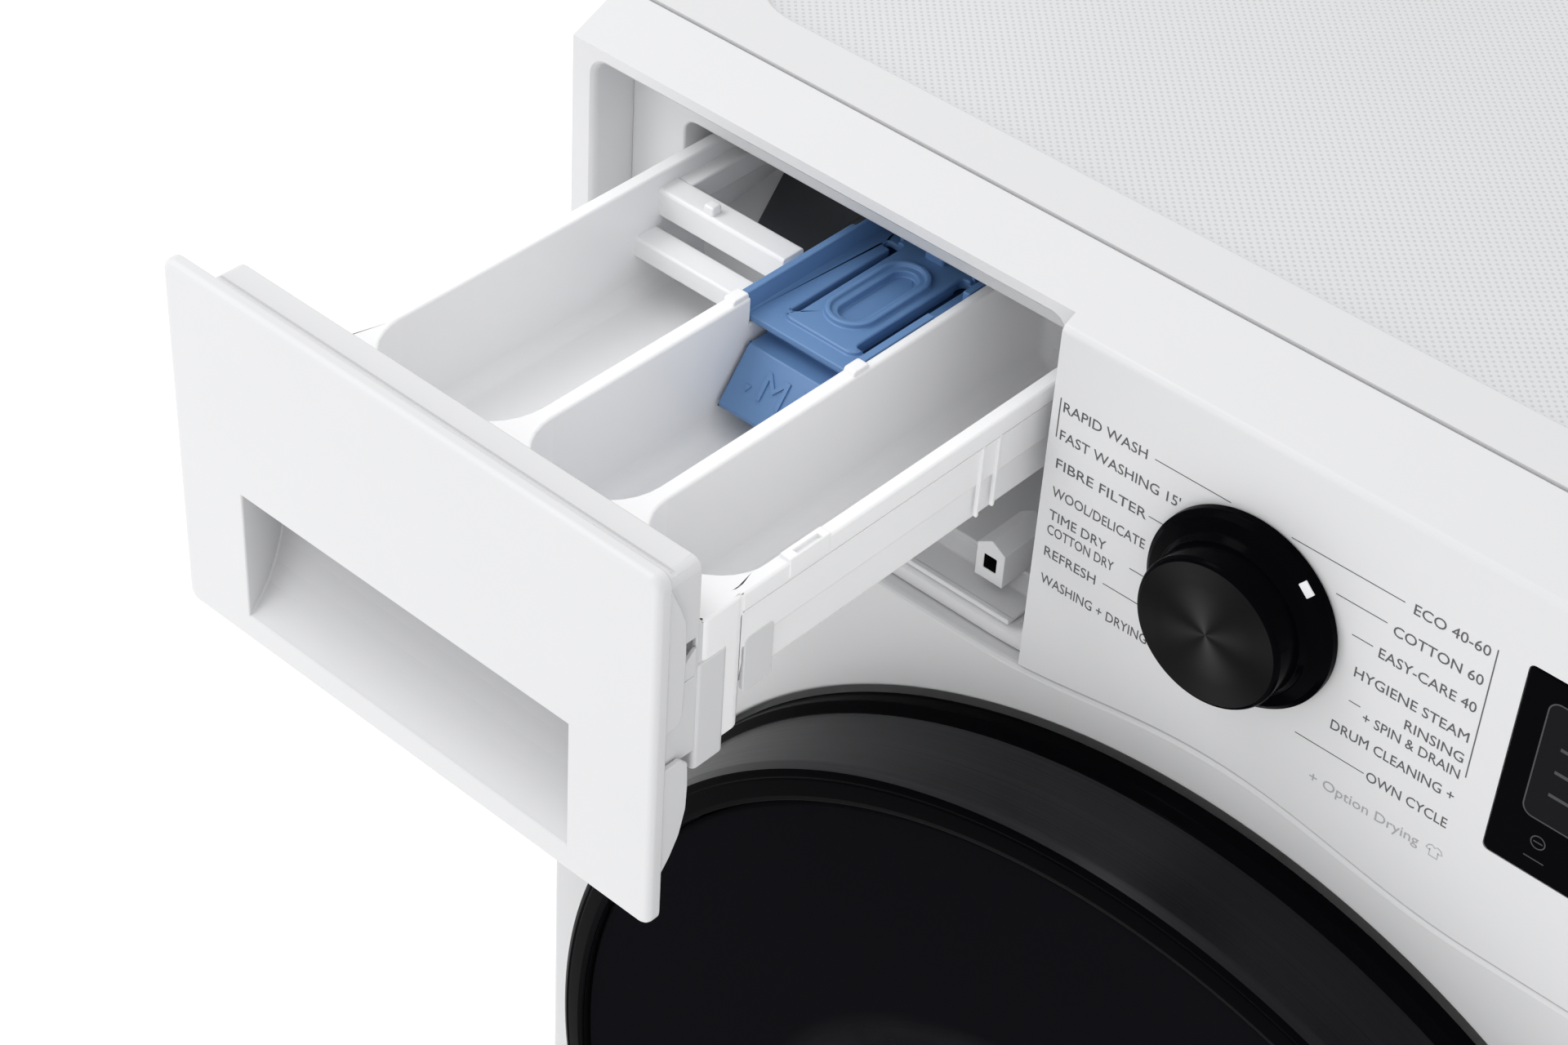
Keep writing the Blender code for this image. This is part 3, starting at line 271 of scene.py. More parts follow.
def make_spun():
    """The knob's spun face: fine circles, with painted highlights: soft wedges of light drawn out from the
    centre.
    """
    net = Net("spun dark metal")
    angle, radius, _ = polar(net, *KNOB)
    rings = net.noise(1.0, net.join(net.times(radius, 9000.0), 0.0, 0.0), detail=2.0)
    # Painted highlights: two wedges of lighter colour, strongest near the centre.
    painted_wedges = None
    for turn, weight, power in ((1.15, 0.55, 6.0), (2.75, 0.30, 14.0)):
        swing = net.maths("ABSOLUTE", net.maths("COSINE", net.plus(angle, turn)))
        painted_wedge = net.times(net.maths("POWER", swing, power), weight)
        painted_wedges = painted_wedge if painted_wedges is None else net.plus(painted_wedges, painted_wedge)
    centre = net.spread(radius, 1.0, 0.25, 0.0, 0.018)
    painted_light = net.times(net.times(painted_wedges, centre), net.spread(rings, 0.75, 1.0))
    tint = net.mix(painted_light, (0.0025, 0.0025, 0.0030), (0.085, 0.085, 0.088))
    tangent = net.add("ShaderNodeTangent", direction_type="RADIAL", axis="Y").outputs[0]
    return net.set(colour=tint, rough=net.spread(rings, 0.30, 0.40), metal=0.9, aniso=0.8, tangent=tangent,
                   spec=0.0, normal=net.bump(rings, 0.05, 0.0001))


def make_pocket():
    """White plastic with painted shade: darker towards the back of the handle pocket."""
    net = Net("pocket plastic")
    _, along, _ = net.split()
    # Painted shade: the colour darkens with depth into the pocket.
    deep = net.spread(along, 0.0, 1.0, FRONT - OUT + 0.0015, FRONT - OUT + 0.0186)
    drift = net.mix(net.spread(net.noise(5.0, detail=4.0), 0.0, 1.0), (0.600, 0.603, 0.612),
                    (0.615, 0.618, 0.627))
    tint = net.mix(deep, drift, (0.400, 0.402, 0.415))
    return net.set(colour=tint, rough=net.spread(net.noise(45.0, detail=3.0), 0.34, 0.44), spec=0.3,
                   normal=net.bump(net.noise(1500.0, detail=1.0), 0.05))


def make_glass():
    """Tinted glass with painted light: a faint lighter ring where the bowl stands behind it, and painted
    swirling reflections.
    """
    net = Net("tinted glass")
    angle, radius, _ = polar(net)
    # Painted reflections and a painted lighter ring for the bowl's edge, mixed into the glass's colour.
    turn = net.join(net.times(radius, 26.0), net.times(net.maths("SINE", angle), 1.6),
                    net.times(net.maths("COSINE", angle), 1.6))
    painted_swirl = net.spread(net.noise(1.0, turn, detail=3.0), 0.0, 1.0, 0.50, 0.72)
    inside = net.spread(radius, 1.0, 0.0, 0.138, 0.150)
    edge = net.times(net.spread(radius, 0.0, 1.0, 0.120, 0.143), inside)
    painted_light = net.plus(net.times(net.times(painted_swirl, inside), 0.40), net.times(edge, 0.30))
    tint = net.mix(painted_light, (0.0055, 0.0055, 0.0070), (0.024, 0.024, 0.026))
    gloss = net.spread(net.noise(40.0), 0.05, 0.09)
    return net.set(colour=tint, rough=gloss, spec=0.0, alpha=0.97,
                   normal=net.bump(net.noise(6.0), 0.01, 0.0002))


def make_drum_steel():
    """Polished drum sheet with rows of small round holes on its wall and back."""
    net = Net("drum steel")
    angle, radius, depth = polar(net)
    pitch = 0.017
    round_count = 84.0
    turn = net.times(net.plus(net.maths("DIVIDE", angle, 2 * math.pi), 0.5), round_count)
    away = staggered(net, turn, net.maths("DIVIDE", depth, pitch))
    wall = net.spread(radius, 0.0, 1.0, 0.2370, 0.2375)
    hole = net.times(net.spread(away, 1.0, 0.0, 0.10, 0.13), wall)
    dimple = net.times(net.spread(away, 1.0, 0.0, 0.12, 0.34), wall)
    sheen = net.noise(1.0, net.join(net.times(depth, 1200.0), net.times(radius, 1200.0),
                                    net.times(net.maths("SINE", angle), 4.0)), detail=2.0)
    base = net.mix(net.spread(sheen, 0.0, 1.0), (0.56, 0.56, 0.57), (0.68, 0.68, 0.69))
    # The holes are painted near-black and not metal: painted shade seen through the sheet.
    tint = net.mix(hole, base, (0.01, 0.01, 0.01))
    metal = net.minus(1.0, hole)
    return net.set(colour=tint, rough=net.spread(sheen, 0.22, 0.34), metal=metal,
                   normal=net.bump(net.minus(1.0, dimple), 0.35, 0.0010))


ENAMEL = make_enamel()
WHITE = plain("white plastic", (0.665, 0.668, 0.677), 0.36, spec=0.35, vary=0.012, grain=0.05, fine=1500.0)
FIELD = make_top_field()
TRAY = plain("tray plastic", (0.880, 0.882, 0.890), 0.36, spec=0.4, vary=0.015, grain=0.05, fine=1400.0)
BLUE = plain("blue plastic", (0.130, 0.255, 0.485), 0.36, spec=0.45, vary=0.05, grain=0.08, fine=1200.0)
# Painted shade for the bottom of the insert's slots.
SLOT_SHADE = plain("painted slot shade", (0.012, 0.030, 0.075), 0.5, spec=0.2, vary=0.1, grain=0.1, fine=1000.0)
GLOSS = plain("black gloss", (0.0014, 0.0014, 0.0020), 0.16, spec=0.01, vary=0.15, grain=0.01, swing=0.03)
BRUSHED = make_brushed()
SPUN = make_spun()
GLASS = make_glass()
BOWL = plain("clear glass", (0.62, 0.68, 0.70), 0.05, spec=0.5, vary=0.05, grain=0.02, fine=60.0,
             swing=0.02, alpha=0.30)
GREY_RUBBER = plain("grey rubber", (0.16, 0.165, 0.17), 0.62, spec=0.3, vary=0.08, grain=0.30, fine=1300.0)
BLACK_RUBBER = plain("black rubber", (0.022, 0.022, 0.023), 0.68, spec=0.3, vary=0.15, grain=0.30,
                     fine=1100.0)
STEEL = plain("bright steel", (0.60, 0.60, 0.61), 0.28, metal=1.0, vary=0.05, grain=0.06, fine=700.0)
CAST = plain("cast aluminium", (0.50, 0.51, 0.52), 0.50, metal=0.9, vary=0.08, grain=0.35, fine=420.0)
IRON = plain("cast iron", (0.16, 0.16, 0.165), 0.78, metal=0.2, vary=0.12, grain=0.45, fine=300.0)
GREY = plain("grey plastic", (0.27, 0.28, 0.29), 0.46, vary=0.04, grain=0.15, fine=900.0)
LID = plain("dark grey plastic", (0.055, 0.060, 0.068), 0.50, vary=0.06, grain=0.12, fine=900.0)
BOARD = plain("circuit board", (0.03, 0.15, 0.07), 0.42, vary=0.15, grain=0.2, fine=350.0, broad=60.0)
DRUM = make_drum_steel()
# Painted shade for the inside of a recess.
RECESS_SHADE = plain("painted recess shade", (0.006, 0.006, 0.007), 0.8, spec=0.1, vary=0.3, grain=0.1)
PRINT = plain("grey print", (0.095, 0.097, 0.102), 0.45, spec=0.2, vary=0.06, grain=0.02)
PALE_PRINT = plain("pale print", (0.36, 0.365, 0.375), 0.45, spec=0.2, vary=0.04, grain=0.02)
WHITE_PRINT = plain("white print", (0.80, 0.80, 0.81), 0.4, spec=0.2, vary=0.03, grain=0.02)
DIM = plain("dim screen", (0.0085, 0.0085, 0.0100), 0.3, spec=0.02, vary=0.1, grain=0.01)
POCKET = make_pocket()
SCREEN = plain("display text", (0.050, 0.051, 0.054), 0.4, spec=0.2, vary=0.05, grain=0.02)

SLOTS = {"white_enamel": ENAMEL, "white_plastic": WHITE, "tray_plastic": TRAY, "blue_plastic": BLUE,
         "black_gloss": GLOSS, "black_brushed": BRUSHED, "tinted_glass": GLASS, "clear_glass": BOWL,
         "grey_rubber": GREY_RUBBER, "black_rubber": BLACK_RUBBER, "bright_steel": STEEL,
         "cast_aluminium": CAST, "cast_iron": IRON, "grey_plastic": GREY, "circuit_board": BOARD}


# Shape tools. Every mesh is made in the row frame, in place.


def point(x, depth, z, out=0.0):
    """A place in the frame. out moves it forward with the drawer."""
    return Vector((x, FRONT + depth - out, z))


def mesh_of(verts, faces):
    """A bmesh of faces. A face that is there already is left out."""
    bm = bmesh.new()
    made = [bm.verts.new(v) for v in verts]
    for face in faces:
        try:
            bm.faces.new([made[i] for i in face])
        except ValueError:
            pass
    return bm


def soften(points, radius=0.0, steps=4):
    """Rounds a polyline's corners. A third number on a point is that corner's own radius."""
    out = []
    count = len(points)
    for i, entry in enumerate(points):
        r = entry[2] if len(entry) > 2 else radius
        here = Vector(entry[:2])
        before, after = Vector(points[i - 1][:2]) - here, Vector(points[(i + 1) % count][:2]) - here
        if r <= 0 or min(before.length, after.length) < TINY:
            out.append(tuple(here))
            continue
        angle = max(0.05, before.angle(after))
        reach = min(r / math.tan(angle / 2), before.length * 0.49, after.length * 0.49)
        start, end = here + before.normalized() * reach, here + after.normalized() * reach
        for k in range(steps + 1):
            t = k / steps
            out.append(tuple((1 - t) ** 2 * start + 2 * t * (1 - t) * here + t * t * end))
    return out


def turned(profile, steps=128, centre=(0.0, DRUM_Z), axis="y"):
    """Turns a closed outline: (radius, depth) about a level axis, or (radius, z) about an upright one."""
    verts, rings = [], []
    for radius, along in profile:
        ring = []
        for k in range(1 if radius < TINY else steps):
            a = 2 * math.pi * k / steps
            u, v = radius * math.cos(a), radius * math.sin(a)
            if axis == "y":
                verts.append(point(centre[0] + u, along, centre[1] + v))
            else:
                verts.append(point(centre[0] + u, centre[1] + v, along))
            ring.append(len(verts) - 1)
        rings.append(ring * steps if len(ring) == 1 else ring)
    faces = []
    for i, ring in enumerate(rings):
        other = rings[(i + 1) % len(rings)]
        for k in range(steps):
            j = (k + 1) % steps
            quad = []
            for index in (ring[k], ring[j], other[j], other[k]):
                if index not in quad:
                    quad.append(index)
            if len(quad) > 2:
                faces.append(quad)
    return mesh_of(verts, faces)


def prism(outline, along, span, out=0.0):
    """An extruded outline. along y takes (x, z) points, along z (x, depth), along x (depth, z)."""
    def at(u, v, w):
        if along == "y":
            return point(u, w, v, out)
        if along == "z":
            return point(u, v, w, out)
        return point(w, u, v, out)
    count = len(outline)
    verts = [at(u, v, w) for w in span for u, v in outline]
    faces = [list(range(count)), list(range(2 * count - 1, count - 1, -1))]
    faces += [[i, (i + 1) % count, count + (i + 1) % count, count + i] for i in range(count)]
    return mesh_of(verts, faces)


def loft(rings):
    """A closed solid through rings of the same number of points, capped at both ends."""
    count = len(rings[0])
    verts = [v for ring in rings for v in ring]
    faces = [list(range(count)), [len(verts) - 1 - i for i in range(count)]]
    for r in range(len(rings) - 1):
        base = r * count
        faces += [[base + i, base + (i + 1) % count, base + count + (i + 1) % count, base + count + i]
                  for i in range(count)]
    return mesh_of(verts, faces)


def box(x, depth, z, bevel=0.0, chosen=None, segments=3, out=0.0):
    """A box between pairs of x, depth and z. chosen picks the edges to bevel by their middles (-1 to 1)."""
    bm = bmesh.new()
    bmesh.ops.create_cube(bm, size=1.0)
    middles = {edge: edge.verts[0].co + edge.verts[1].co for edge in bm.edges}
    picked = [edge for edge in bm.edges if chosen is None or chosen(middles[edge])]
    bmesh.ops.scale(bm, vec=(x[1] - x[0], depth[1] - depth[0], z[1] - z[0]), verts=bm.verts)
    if bevel:
        bmesh.ops.bevel(bm, geom=picked, offset=bevel, offset_type="OFFSET", segments=segments, profile=0.5,
                        affect="EDGES")
    centre = point((x[0] + x[1]) / 2, (depth[0] + depth[1]) / 2, (z[0] + z[1]) / 2, out)
    bmesh.ops.translate(bm, vec=centre, verts=bm.verts)
    return bm


def upright(m):
    """True for a box's edges that run up."""
    return abs(m.z) < 0.1


def lengthwise(m):
    """True for a box's edges that run from front to back."""
    return abs(m.y) < 0.1


def rod(centre, radius, along, steps=64, axis="y"):
    """A solid round bar."""
    low, high = along
    return turned([(0, low), (radius, low), (radius, high), (0, high)], steps, centre, axis)


def rounded(x, y, radius, steps=8):
    """A rectangle with round corners. radius is one number, or one for each corner from high-high on."""
    radii = radius if isinstance(radius, (tuple, list)) else (radius,) * 4
    corners = ((x[1], y[1], -1, -1), (x[0], y[1], 1, -1), (x[0], y[0], 1, 1), (x[1], y[0], -1, 1))
    points = []
    for quarter, ((cx, cy, sx, sy), r) in enumerate(zip(corners, radii)):
        for i in range(steps + 1):
            a = (quarter + i / steps) * math.pi / 2
            points.append((cx + sx * r + r * math.cos(a), cy + sy * r + r * math.sin(a)))
    return points


def basin(x, depth, z, radius, fillet, steps=8, out=0.0):
    """A cutter with round upright corners and a filleted floor. radius as in rounded."""
    radii = radius if isinstance(radius, (tuple, list)) else (radius,) * 4
    rings = []
    for k in range(6):
        t = math.radians(18 * k)
        inset, height = fillet * (1 - math.sin(t)), z[0] + fillet * (1 - math.cos(t))
        outline = rounded((x[0] + inset, x[1] - inset), (depth[0] + inset, depth[1] - inset),
                          [max(0.0003, r - inset) for r in radii], steps)
        rings.append([point(u, v, height, out) for u, v in outline])
    outline = rounded(x, depth, radii, steps)
    rings.append([point(u, v, z[1], out) for u, v in outline])
    return loft(rings)


def tube(points, radius, sides=16):
    """A round tube through (x, depth, z) points."""
    route = [point(*p) for p in points]
    rings, normal = [], None
    for i, here in enumerate(route):
        ahead = (route[min(i + 1, len(route) - 1)] - route[max(i - 1, 0)]).normalized()
        if normal is None:
            normal = ahead.orthogonal().normalized()
        normal = (normal - ahead * normal.dot(ahead)).normalized()
        across = ahead.cross(normal)
        rings.append([here + radius * (math.cos(a) * normal + math.sin(a) * across)
                      for a in (2 * math.pi * k / sides for k in range(sides))])
    return loft(rings)


def panel_edge(x, lift=0.0):
    """Height of the seam below the control panel, which humps up over the door."""
    hump = HUMP / 2 * (1 + math.cos(math.pi * x / HUMP_HALF)) if abs(x) < HUMP_HALF else 0.0
    return PANEL_Z + hump + lift


def seam(x_from, x_to, lift, steps=48):
    """Points along that seam, from one x to another."""
    inner = [-HUMP_HALF + 2 * HUMP_HALF * i / steps for i in range(steps + 1)]
    inside = [x for x in inner if min(x_from, x_to) < x < max(x_from, x_to)]
    if x_to < x_from:
        inside.reverse()
    return [(x, panel_edge(x, lift)) for x in [x_from, *inside, x_to]]


def to_object(bm, name="shape"):
    """A new object of a bmesh, which is freed."""
    bmesh.ops.remove_doubles(bm, verts=bm.verts, dist=TINY)
    bmesh.ops.recalc_face_normals(bm, faces=bm.faces)
    mesh = bpy.data.meshes.new(name)
    bm.to_mesh(mesh)
    bm.free()
    obj = bpy.data.objects.new(name, mesh)
    bpy.context.scene.collection.objects.link(obj)
    return obj


def settled(obj):
    """The object's mesh with its modifiers applied."""
    bpy.context.view_layer.update()
    graph = bpy.context.evaluated_depsgraph_get()
    mesh = bpy.data.meshes.new_from_object(obj.evaluated_get(graph))
    obj.modifiers.clear()
    old = obj.data
    obj.data = mesh
    bpy.data.meshes.remove(old)
    return obj


def extent(obj):
    """The lowest and highest corner of an object's mesh."""
    corners = list(zip(*(v.co for v in obj.data.vertices)))
    return [min(c) for c in corners], [max(c) for c in corners]


def carve(base, steps, bevel=0.0006, segments=2, angle=32.0):
    """Cuts ('-') and joins ('+') shapes with an exact Boolean, then bevels every sharp edge."""
    obj = to_object(base)
    tools = []
    for sign, shape in steps:
        tool = to_object(shape, "tool")
        tools.append(tool)
        modifier = obj.modifiers.new("step", "BOOLEAN")
        modifier.operation = "DIFFERENCE" if sign == "-" else "UNION"
        modifier.solver = "EXACT"
        modifier.object = tool
    settled(obj)
    for tool in tools:
        bpy.data.objects.remove(tool, do_unlink=True)
    bm = bmesh.new()
    bm.from_mesh(obj.data)
    if steps:
        bmesh.ops.triangulate(bm, faces=[f for f in bm.faces if len(f.verts) > 4])
    bmesh.ops.remove_doubles(bm, verts=bm.verts, dist=2e-6)
    bm.to_mesh(obj.data)
    bm.free()
    low, high = extent(obj)
    if bevel:
        modifier = obj.modifiers.new("edge", "BEVEL")
        modifier.width = bevel
        modifier.segments = segments
        modifier.limit_method = "ANGLE"
        modifier.angle_limit = math.radians(angle)
        modifier.use_clamp_overlap = False
        settled(obj)
        for vertex in obj.data.vertices:
            vertex.co = [min(max(c, a), b) for c, a, b in zip(vertex.co, low, high)]
    return obj


def merged(*shapes):
    """Several bmeshes or objects as one object, with no Boolean."""
    bm = bmesh.new()
    for shape in shapes:
        if isinstance(shape, bpy.types.Object):
            bm.from_mesh(shape.data)
            bpy.data.objects.remove(shape, do_unlink=True)
        else:
            bmesh.ops.remove_doubles(shape, verts=shape.verts, dist=TINY)
            bmesh.ops.recalc_face_normals(shape, faces=shape.faces)
            mesh = bpy.data.meshes.new("part")
            shape.to_mesh(mesh)
            shape.free()
            bm.from_mesh(mesh)
            bpy.data.meshes.remove(mesh)
    mesh = bpy.data.meshes.new("merged")
    bm.to_mesh(mesh)
    bm.free()
    obj = bpy.data.objects.new("merged", mesh)
    bpy.context.scene.collection.objects.link(obj)
    return obj


def level(mesh, broad=0.0004):
    """Shades broad flat areas flat, so that their long triangles leave no streaks."""
    bm = bmesh.new()
    bm.from_mesh(mesh)
    bm.faces.ensure_lookup_table()
    seen = set()
    for face in bm.faces:
        if face.index in seen:
            continue
        seen.add(face.index)
        region, area, curved = [face], 0.0, False
        for one in region:
            area += one.calc_area()
            for edge in one.edges:
                for other in edge.link_faces:
                    if other is one or other.calc_area() < TINY or one.calc_area() < TINY:
                        continue
                    turn = math.degrees(one.normal.angle(other.normal, 0.0))
                    if turn < 0.8:
                        if other.index not in seen:
                            seen.add(other.index)
                            region.append(other)
                    elif turn < 4.5:
                        curved = True
        if area > broad and not curved:
            for one in region:
                one.smooth = False
    bm.to_mesh(mesh)
    bm.free()


def piece(name, shape, material, body, node=None, angle=34.0, weighted=True, more=()):
    """Names, shades and fixes a shape to its body. node is the CAD part that it stands in for.

    more holds pairs of a finish and a test of a face.
    """
    obj = shape if isinstance(shape, bpy.types.Object) else to_object(shape)
    obj.name = name
    obj.data.name = name
    obj.data.materials.clear()
    obj.data.materials.append(material)
    for polygon in obj.data.polygons:
        polygon.material_index = 0
    for number, (other, test) in enumerate(more, 1):
        obj.data.materials.append(other)
        for polygon in obj.data.polygons:
            if test(polygon):
                polygon.material_index = number
    obj.data.shade_smooth()
    obj.data.set_sharp_from_angle(angle=math.radians(angle))
    level(obj.data)
    if weighted:
        modifier = obj.modifiers.new("flat faces lead", "WEIGHTED_NORMAL")
        modifier.keep_sharp = True
        modifier.weight = 80
    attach(obj, body)
    if node:
        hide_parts(node)


def around(radius, degrees, centre=(0.0, DRUM_Z)):
    """The (x, z) of a place on a circle."""
    a = math.radians(degrees)
    return centre[0] + radius * math.cos(a), centre[1] + radius * math.sin(a)


def screw_head(x, z, depth, radius=0.0045):
    """A pan head with a cross recess, on a face that looks to the back."""
    head = turned(soften([(0, depth - 0.0005), (radius, depth - 0.0005), (radius, depth + 0.0008),
                          (radius * 0.7, depth + 0.0022), (0, depth + 0.0026)], 0.0004, 2), 24, (x, z))
    span, long, narrow = (depth + 0.0012, depth + 0.0040), radius * 0.62, 0.0005
    return carve(head, [("-", box((x - long, x + long), span, (z - narrow, z + narrow))),
                        ("-", box((x - narrow, x + narrow), span, (z - long, z + long)))], 0.0)


# The cabinet.


def make_cabinet():
    """The folded shell with its pressed fields, vents, foot holes and two tabs for the top cover."""
    x = (-HALF, HALF)
    shell = box(x, (CASE_FRONT, CASE_BACK), (FLOOR, CASE_TOP), 0.005, lambda m: upright(m) and m.y > 0.9, 4)
    steps = [("-", box((-HALF + 0.002, HALF - 0.002), (0.0, CASE_BACK - 0.002), (FLOOR + 0.002, HEIGHT)))]
    # Shallow pressed fields stiffen the sides and the back.
    for side in (-1, 1):
        rings = []
        for x_at, grow in ((side * 0.2988, -0.010), (side * 0.3002, 0.0)):
            outline = rounded((0.075 - grow, 0.530 + grow), (0.075 - grow, 0.740 + grow), 0.030 + grow, 8)
            rings.append([point(x_at, u, v) for u, v in outline])
        steps.append(("-", loft(rings)))
    for xs, zs in (((-0.278, 0.278), (0.045, 0.165)), ((-0.278, 0.178), (0.700, 0.742))):
        rings = []
        for depth, grow in ((CASE_BACK - 0.0010, -0.006), (CASE_BACK + 0.0002, 0.0)):
            outline = rounded((xs[0] - grow, xs[1] + grow), (zs[0] - grow, zs[1] + grow), 0.012 + grow, 6)
            rings.append([point(u, depth, v) for u, v in outline])
        steps.append(("-", loft(rings)))
    steps.append(("-", rod((0, DRUM_Z), 0.200, BACK_WALL, 128)))
    for spot in (VALVE, DRAIN, GLAND):
        steps.append(("-", rod(spot, 0.0155, BACK_WALL, 48)))
    for side in (-1, 1):
        for row in range(7):
            z = 0.640 - 0.014 * row
            outline = rounded((side * 0.262 - 0.018, side * 0.262 + 0.018), (z, z + 0.004), 0.0019, 4)
            steps.append(("-", prism(outline, "y", BACK_WALL)))
        for _, depth in FOOT_ROWS:
            steps.append(("-", rod((side * FOOT_X, depth), 0.0060, (0.010, 0.030), 24, "z")))
    obj = carve(shell, steps, 0.0)
    tabs = []
    for side in (-1, 1):
        inner, outer = sorted((side * 0.223, side * (HALF - 0.001)))
        tabs.append(box((inner, outer), (0.350, 0.370), (0.800, 0.803), 0.0006))
    piece("cabinet_skin", merged(obj, *tabs), ENAMEL, "casing", "cabinet_shell")


def make_rear():
    """The round service cover with its ribs, the screws, the transport bolt caps and a blank plate."""
    profile = soften([(0, 0.5920), (0.060, 0.5920, 0.004), (0.072, 0.5904, 0.004), (0.112, 0.5904, 0.004),
                      (0.124, 0.5920, 0.004), (0.170, 0.5920, 0.010), (0.200, 0.5890, 0.010),
                      (0.2205, 0.5890, 0.001), (0.2220, CASE_BACK + GAP, 0.0004), (0.198, CASE_BACK + GAP),
                      (0.168, 0.5885), (0, 0.5885)])
    cover = to_object(turned(profile, 128))
    ribs = []
    for k in range(8):
        a = math.radians(45 * k + 22.5)
        ribs.append(tube([(r * math.cos(a), 0.5912, DRUM_Z + r * math.sin(a)) for r in (0.079, 0.158)],
                         0.0028, 12))
    heads = [screw_head(*around(0.2125, a), 0.5890) for a in range(15, 375, 60)]
    piece("rear_cover_skin", merged(cover, *ribs), ENAMEL, "casing", "rear_cover")
    for x, z in ((0.288, 0.805), (0.288, 0.430), (0.288, 0.036), (0.100, 0.805)):
        heads += [screw_head(side * x, z, CASE_BACK) for side in (-1, 1)]
    piece("rear_screws", merged(*heads), STEEL, "casing", weighted=False)
    caps = []
    for x_at, z in ((-0.150, 0.660), (0.150, 0.660), (-0.190, 0.200), (0.190, 0.200)):
        caps.append(turned(soften([(0, CASE_BACK + 0.0002), (0.0180, CASE_BACK + 0.0002),
                                   (0.0180, CASE_BACK + 0.0022, 0.001), (0.0120, CASE_BACK + 0.0038, 0.001),
                                   (0.0105, CASE_BACK + 0.0026, 0.0005), (0.004, CASE_BACK + 0.0026, 0.001),
                                   (0, CASE_BACK + 0.0030)], steps=3),
                           48, (x_at, z)))
    piece("transport_bolt_caps", merged(*caps), GREY, "casing")
    plate = box((-0.075, 0.015), (CASE_BACK + 0.0001, CASE_BACK + 0.0007), (0.750, 0.790), 0.0003, None, 2)
    piece("blank_plate", plate, STEEL, "casing")


def make_front_panel():
    """Sheet steel, hollow behind, with the round dish of the door and an opening for the flap."""
    wall = 0.0015
    side = HALF - 0.0005
    outline = [(-side, FLOOR), (side, FLOOR), *seam(side, -side, -0.0006, 64)]
    bm = prism(outline, "y", (0.0, CASE_FRONT - GAP))
    bmesh.ops.recalc_face_normals(bm, faces=bm.faces)
    rim = [e for e in bm.edges if all(v.co.y < FRONT + 0.0001 for v in e.verts)]
    bmesh.ops.bevel(bm, geom=rim, offset=0.0024, offset_type="OFFSET", segments=4, profile=0.5,
                    affect="EDGES")
    inner = side - wall
    hollow = [(-inner, FLOOR + wall), (inner, FLOOR + wall), *seam(inner, -inner, -0.0006 - wall, 64)]
    lip = 0.0014
    panel = carve(bm, [("-", prism(hollow, "y", (wall, 0.040))),
                       ("-", rod((0, DRUM_Z), DISH_R + lip, (-0.010, 0.030), 256)),
                       ("-", prism(rounded(FLAP_X, FLAP_Z, 0.006, 6), "y", SHEET))], 0.0)
    curve = [(DISH_R + lip - lip * math.sin(math.radians(a)), lip - lip * math.cos(math.radians(a)))
             for a in range(0, 91, 15)]
    dish = [*curve, (DISH_R, DISH_FLOOR - 0.003), (DISH_R - 0.0008, DISH_FLOOR - 0.0008),
            (DISH_R - 0.003, DISH_FLOOR), (MOUTH_R + 0.0015, DISH_FLOOR),
            (MOUTH_R + 0.0004, DISH_FLOOR + 0.0004), (MOUTH_R, DISH_FLOOR + 0.0015), (MOUTH_R, 0.0225),
            (MOUTH_R + wall, 0.0225), (MOUTH_R + wall, DISH_FLOOR + wall),
            (DISH_R + 0.0028, DISH_FLOOR + wall), (DISH_R + 0.0028, wall)]
    bowl = carve(turned(dish, 256), [("-", box(HOOK_X, (0.010, 0.020), HOOK_Z))], 0.0)
    piece("front_panel_skin", merged(panel, bowl), ENAMEL, "casing", "front_panel")


def make_top_cover():
    """A plastic cover, hollow below, with a sunken field in its top."""
    outside = (-HALF, HALF), (CASE_FRONT + GAP, 0.5895)
    cover = box(*outside, (CASE_TOP + GAP, HEIGHT), 0.0042,
                lambda m: (upright(m) or m.z > 0.9) and m.y > -0.9, 5)
    hollow = box((-HALF + 0.003, HALF - 0.003), (CASE_FRONT + 0.0034, 0.5865), (0.800, 0.8430))
    rings = []
    for z, inset in ((0.8468, 0.0022), (0.8471, 0.0010), (0.8480, 0.0004), (0.8494, -0.0003),
                     (0.8502, -0.0016), (0.8600, -0.0017)):
        outline = rounded((-0.274 + inset, 0.274 - inset), (0.056 + inset, 0.560 - inset), 0.030 - inset,
                          12)
        rings.append([point(u, v, z) for u, v in outline])
    obj = carve(cover, [("-", hollow), ("-", loft(rings))], 0.0)
    piece("top_cover_skin", obj, WHITE, "casing", "top_cover", angle=50,
          more=[(FIELD, lambda face: 0.8460 < face.center.z < 0.8470 and face.normal.z > 0.99)])


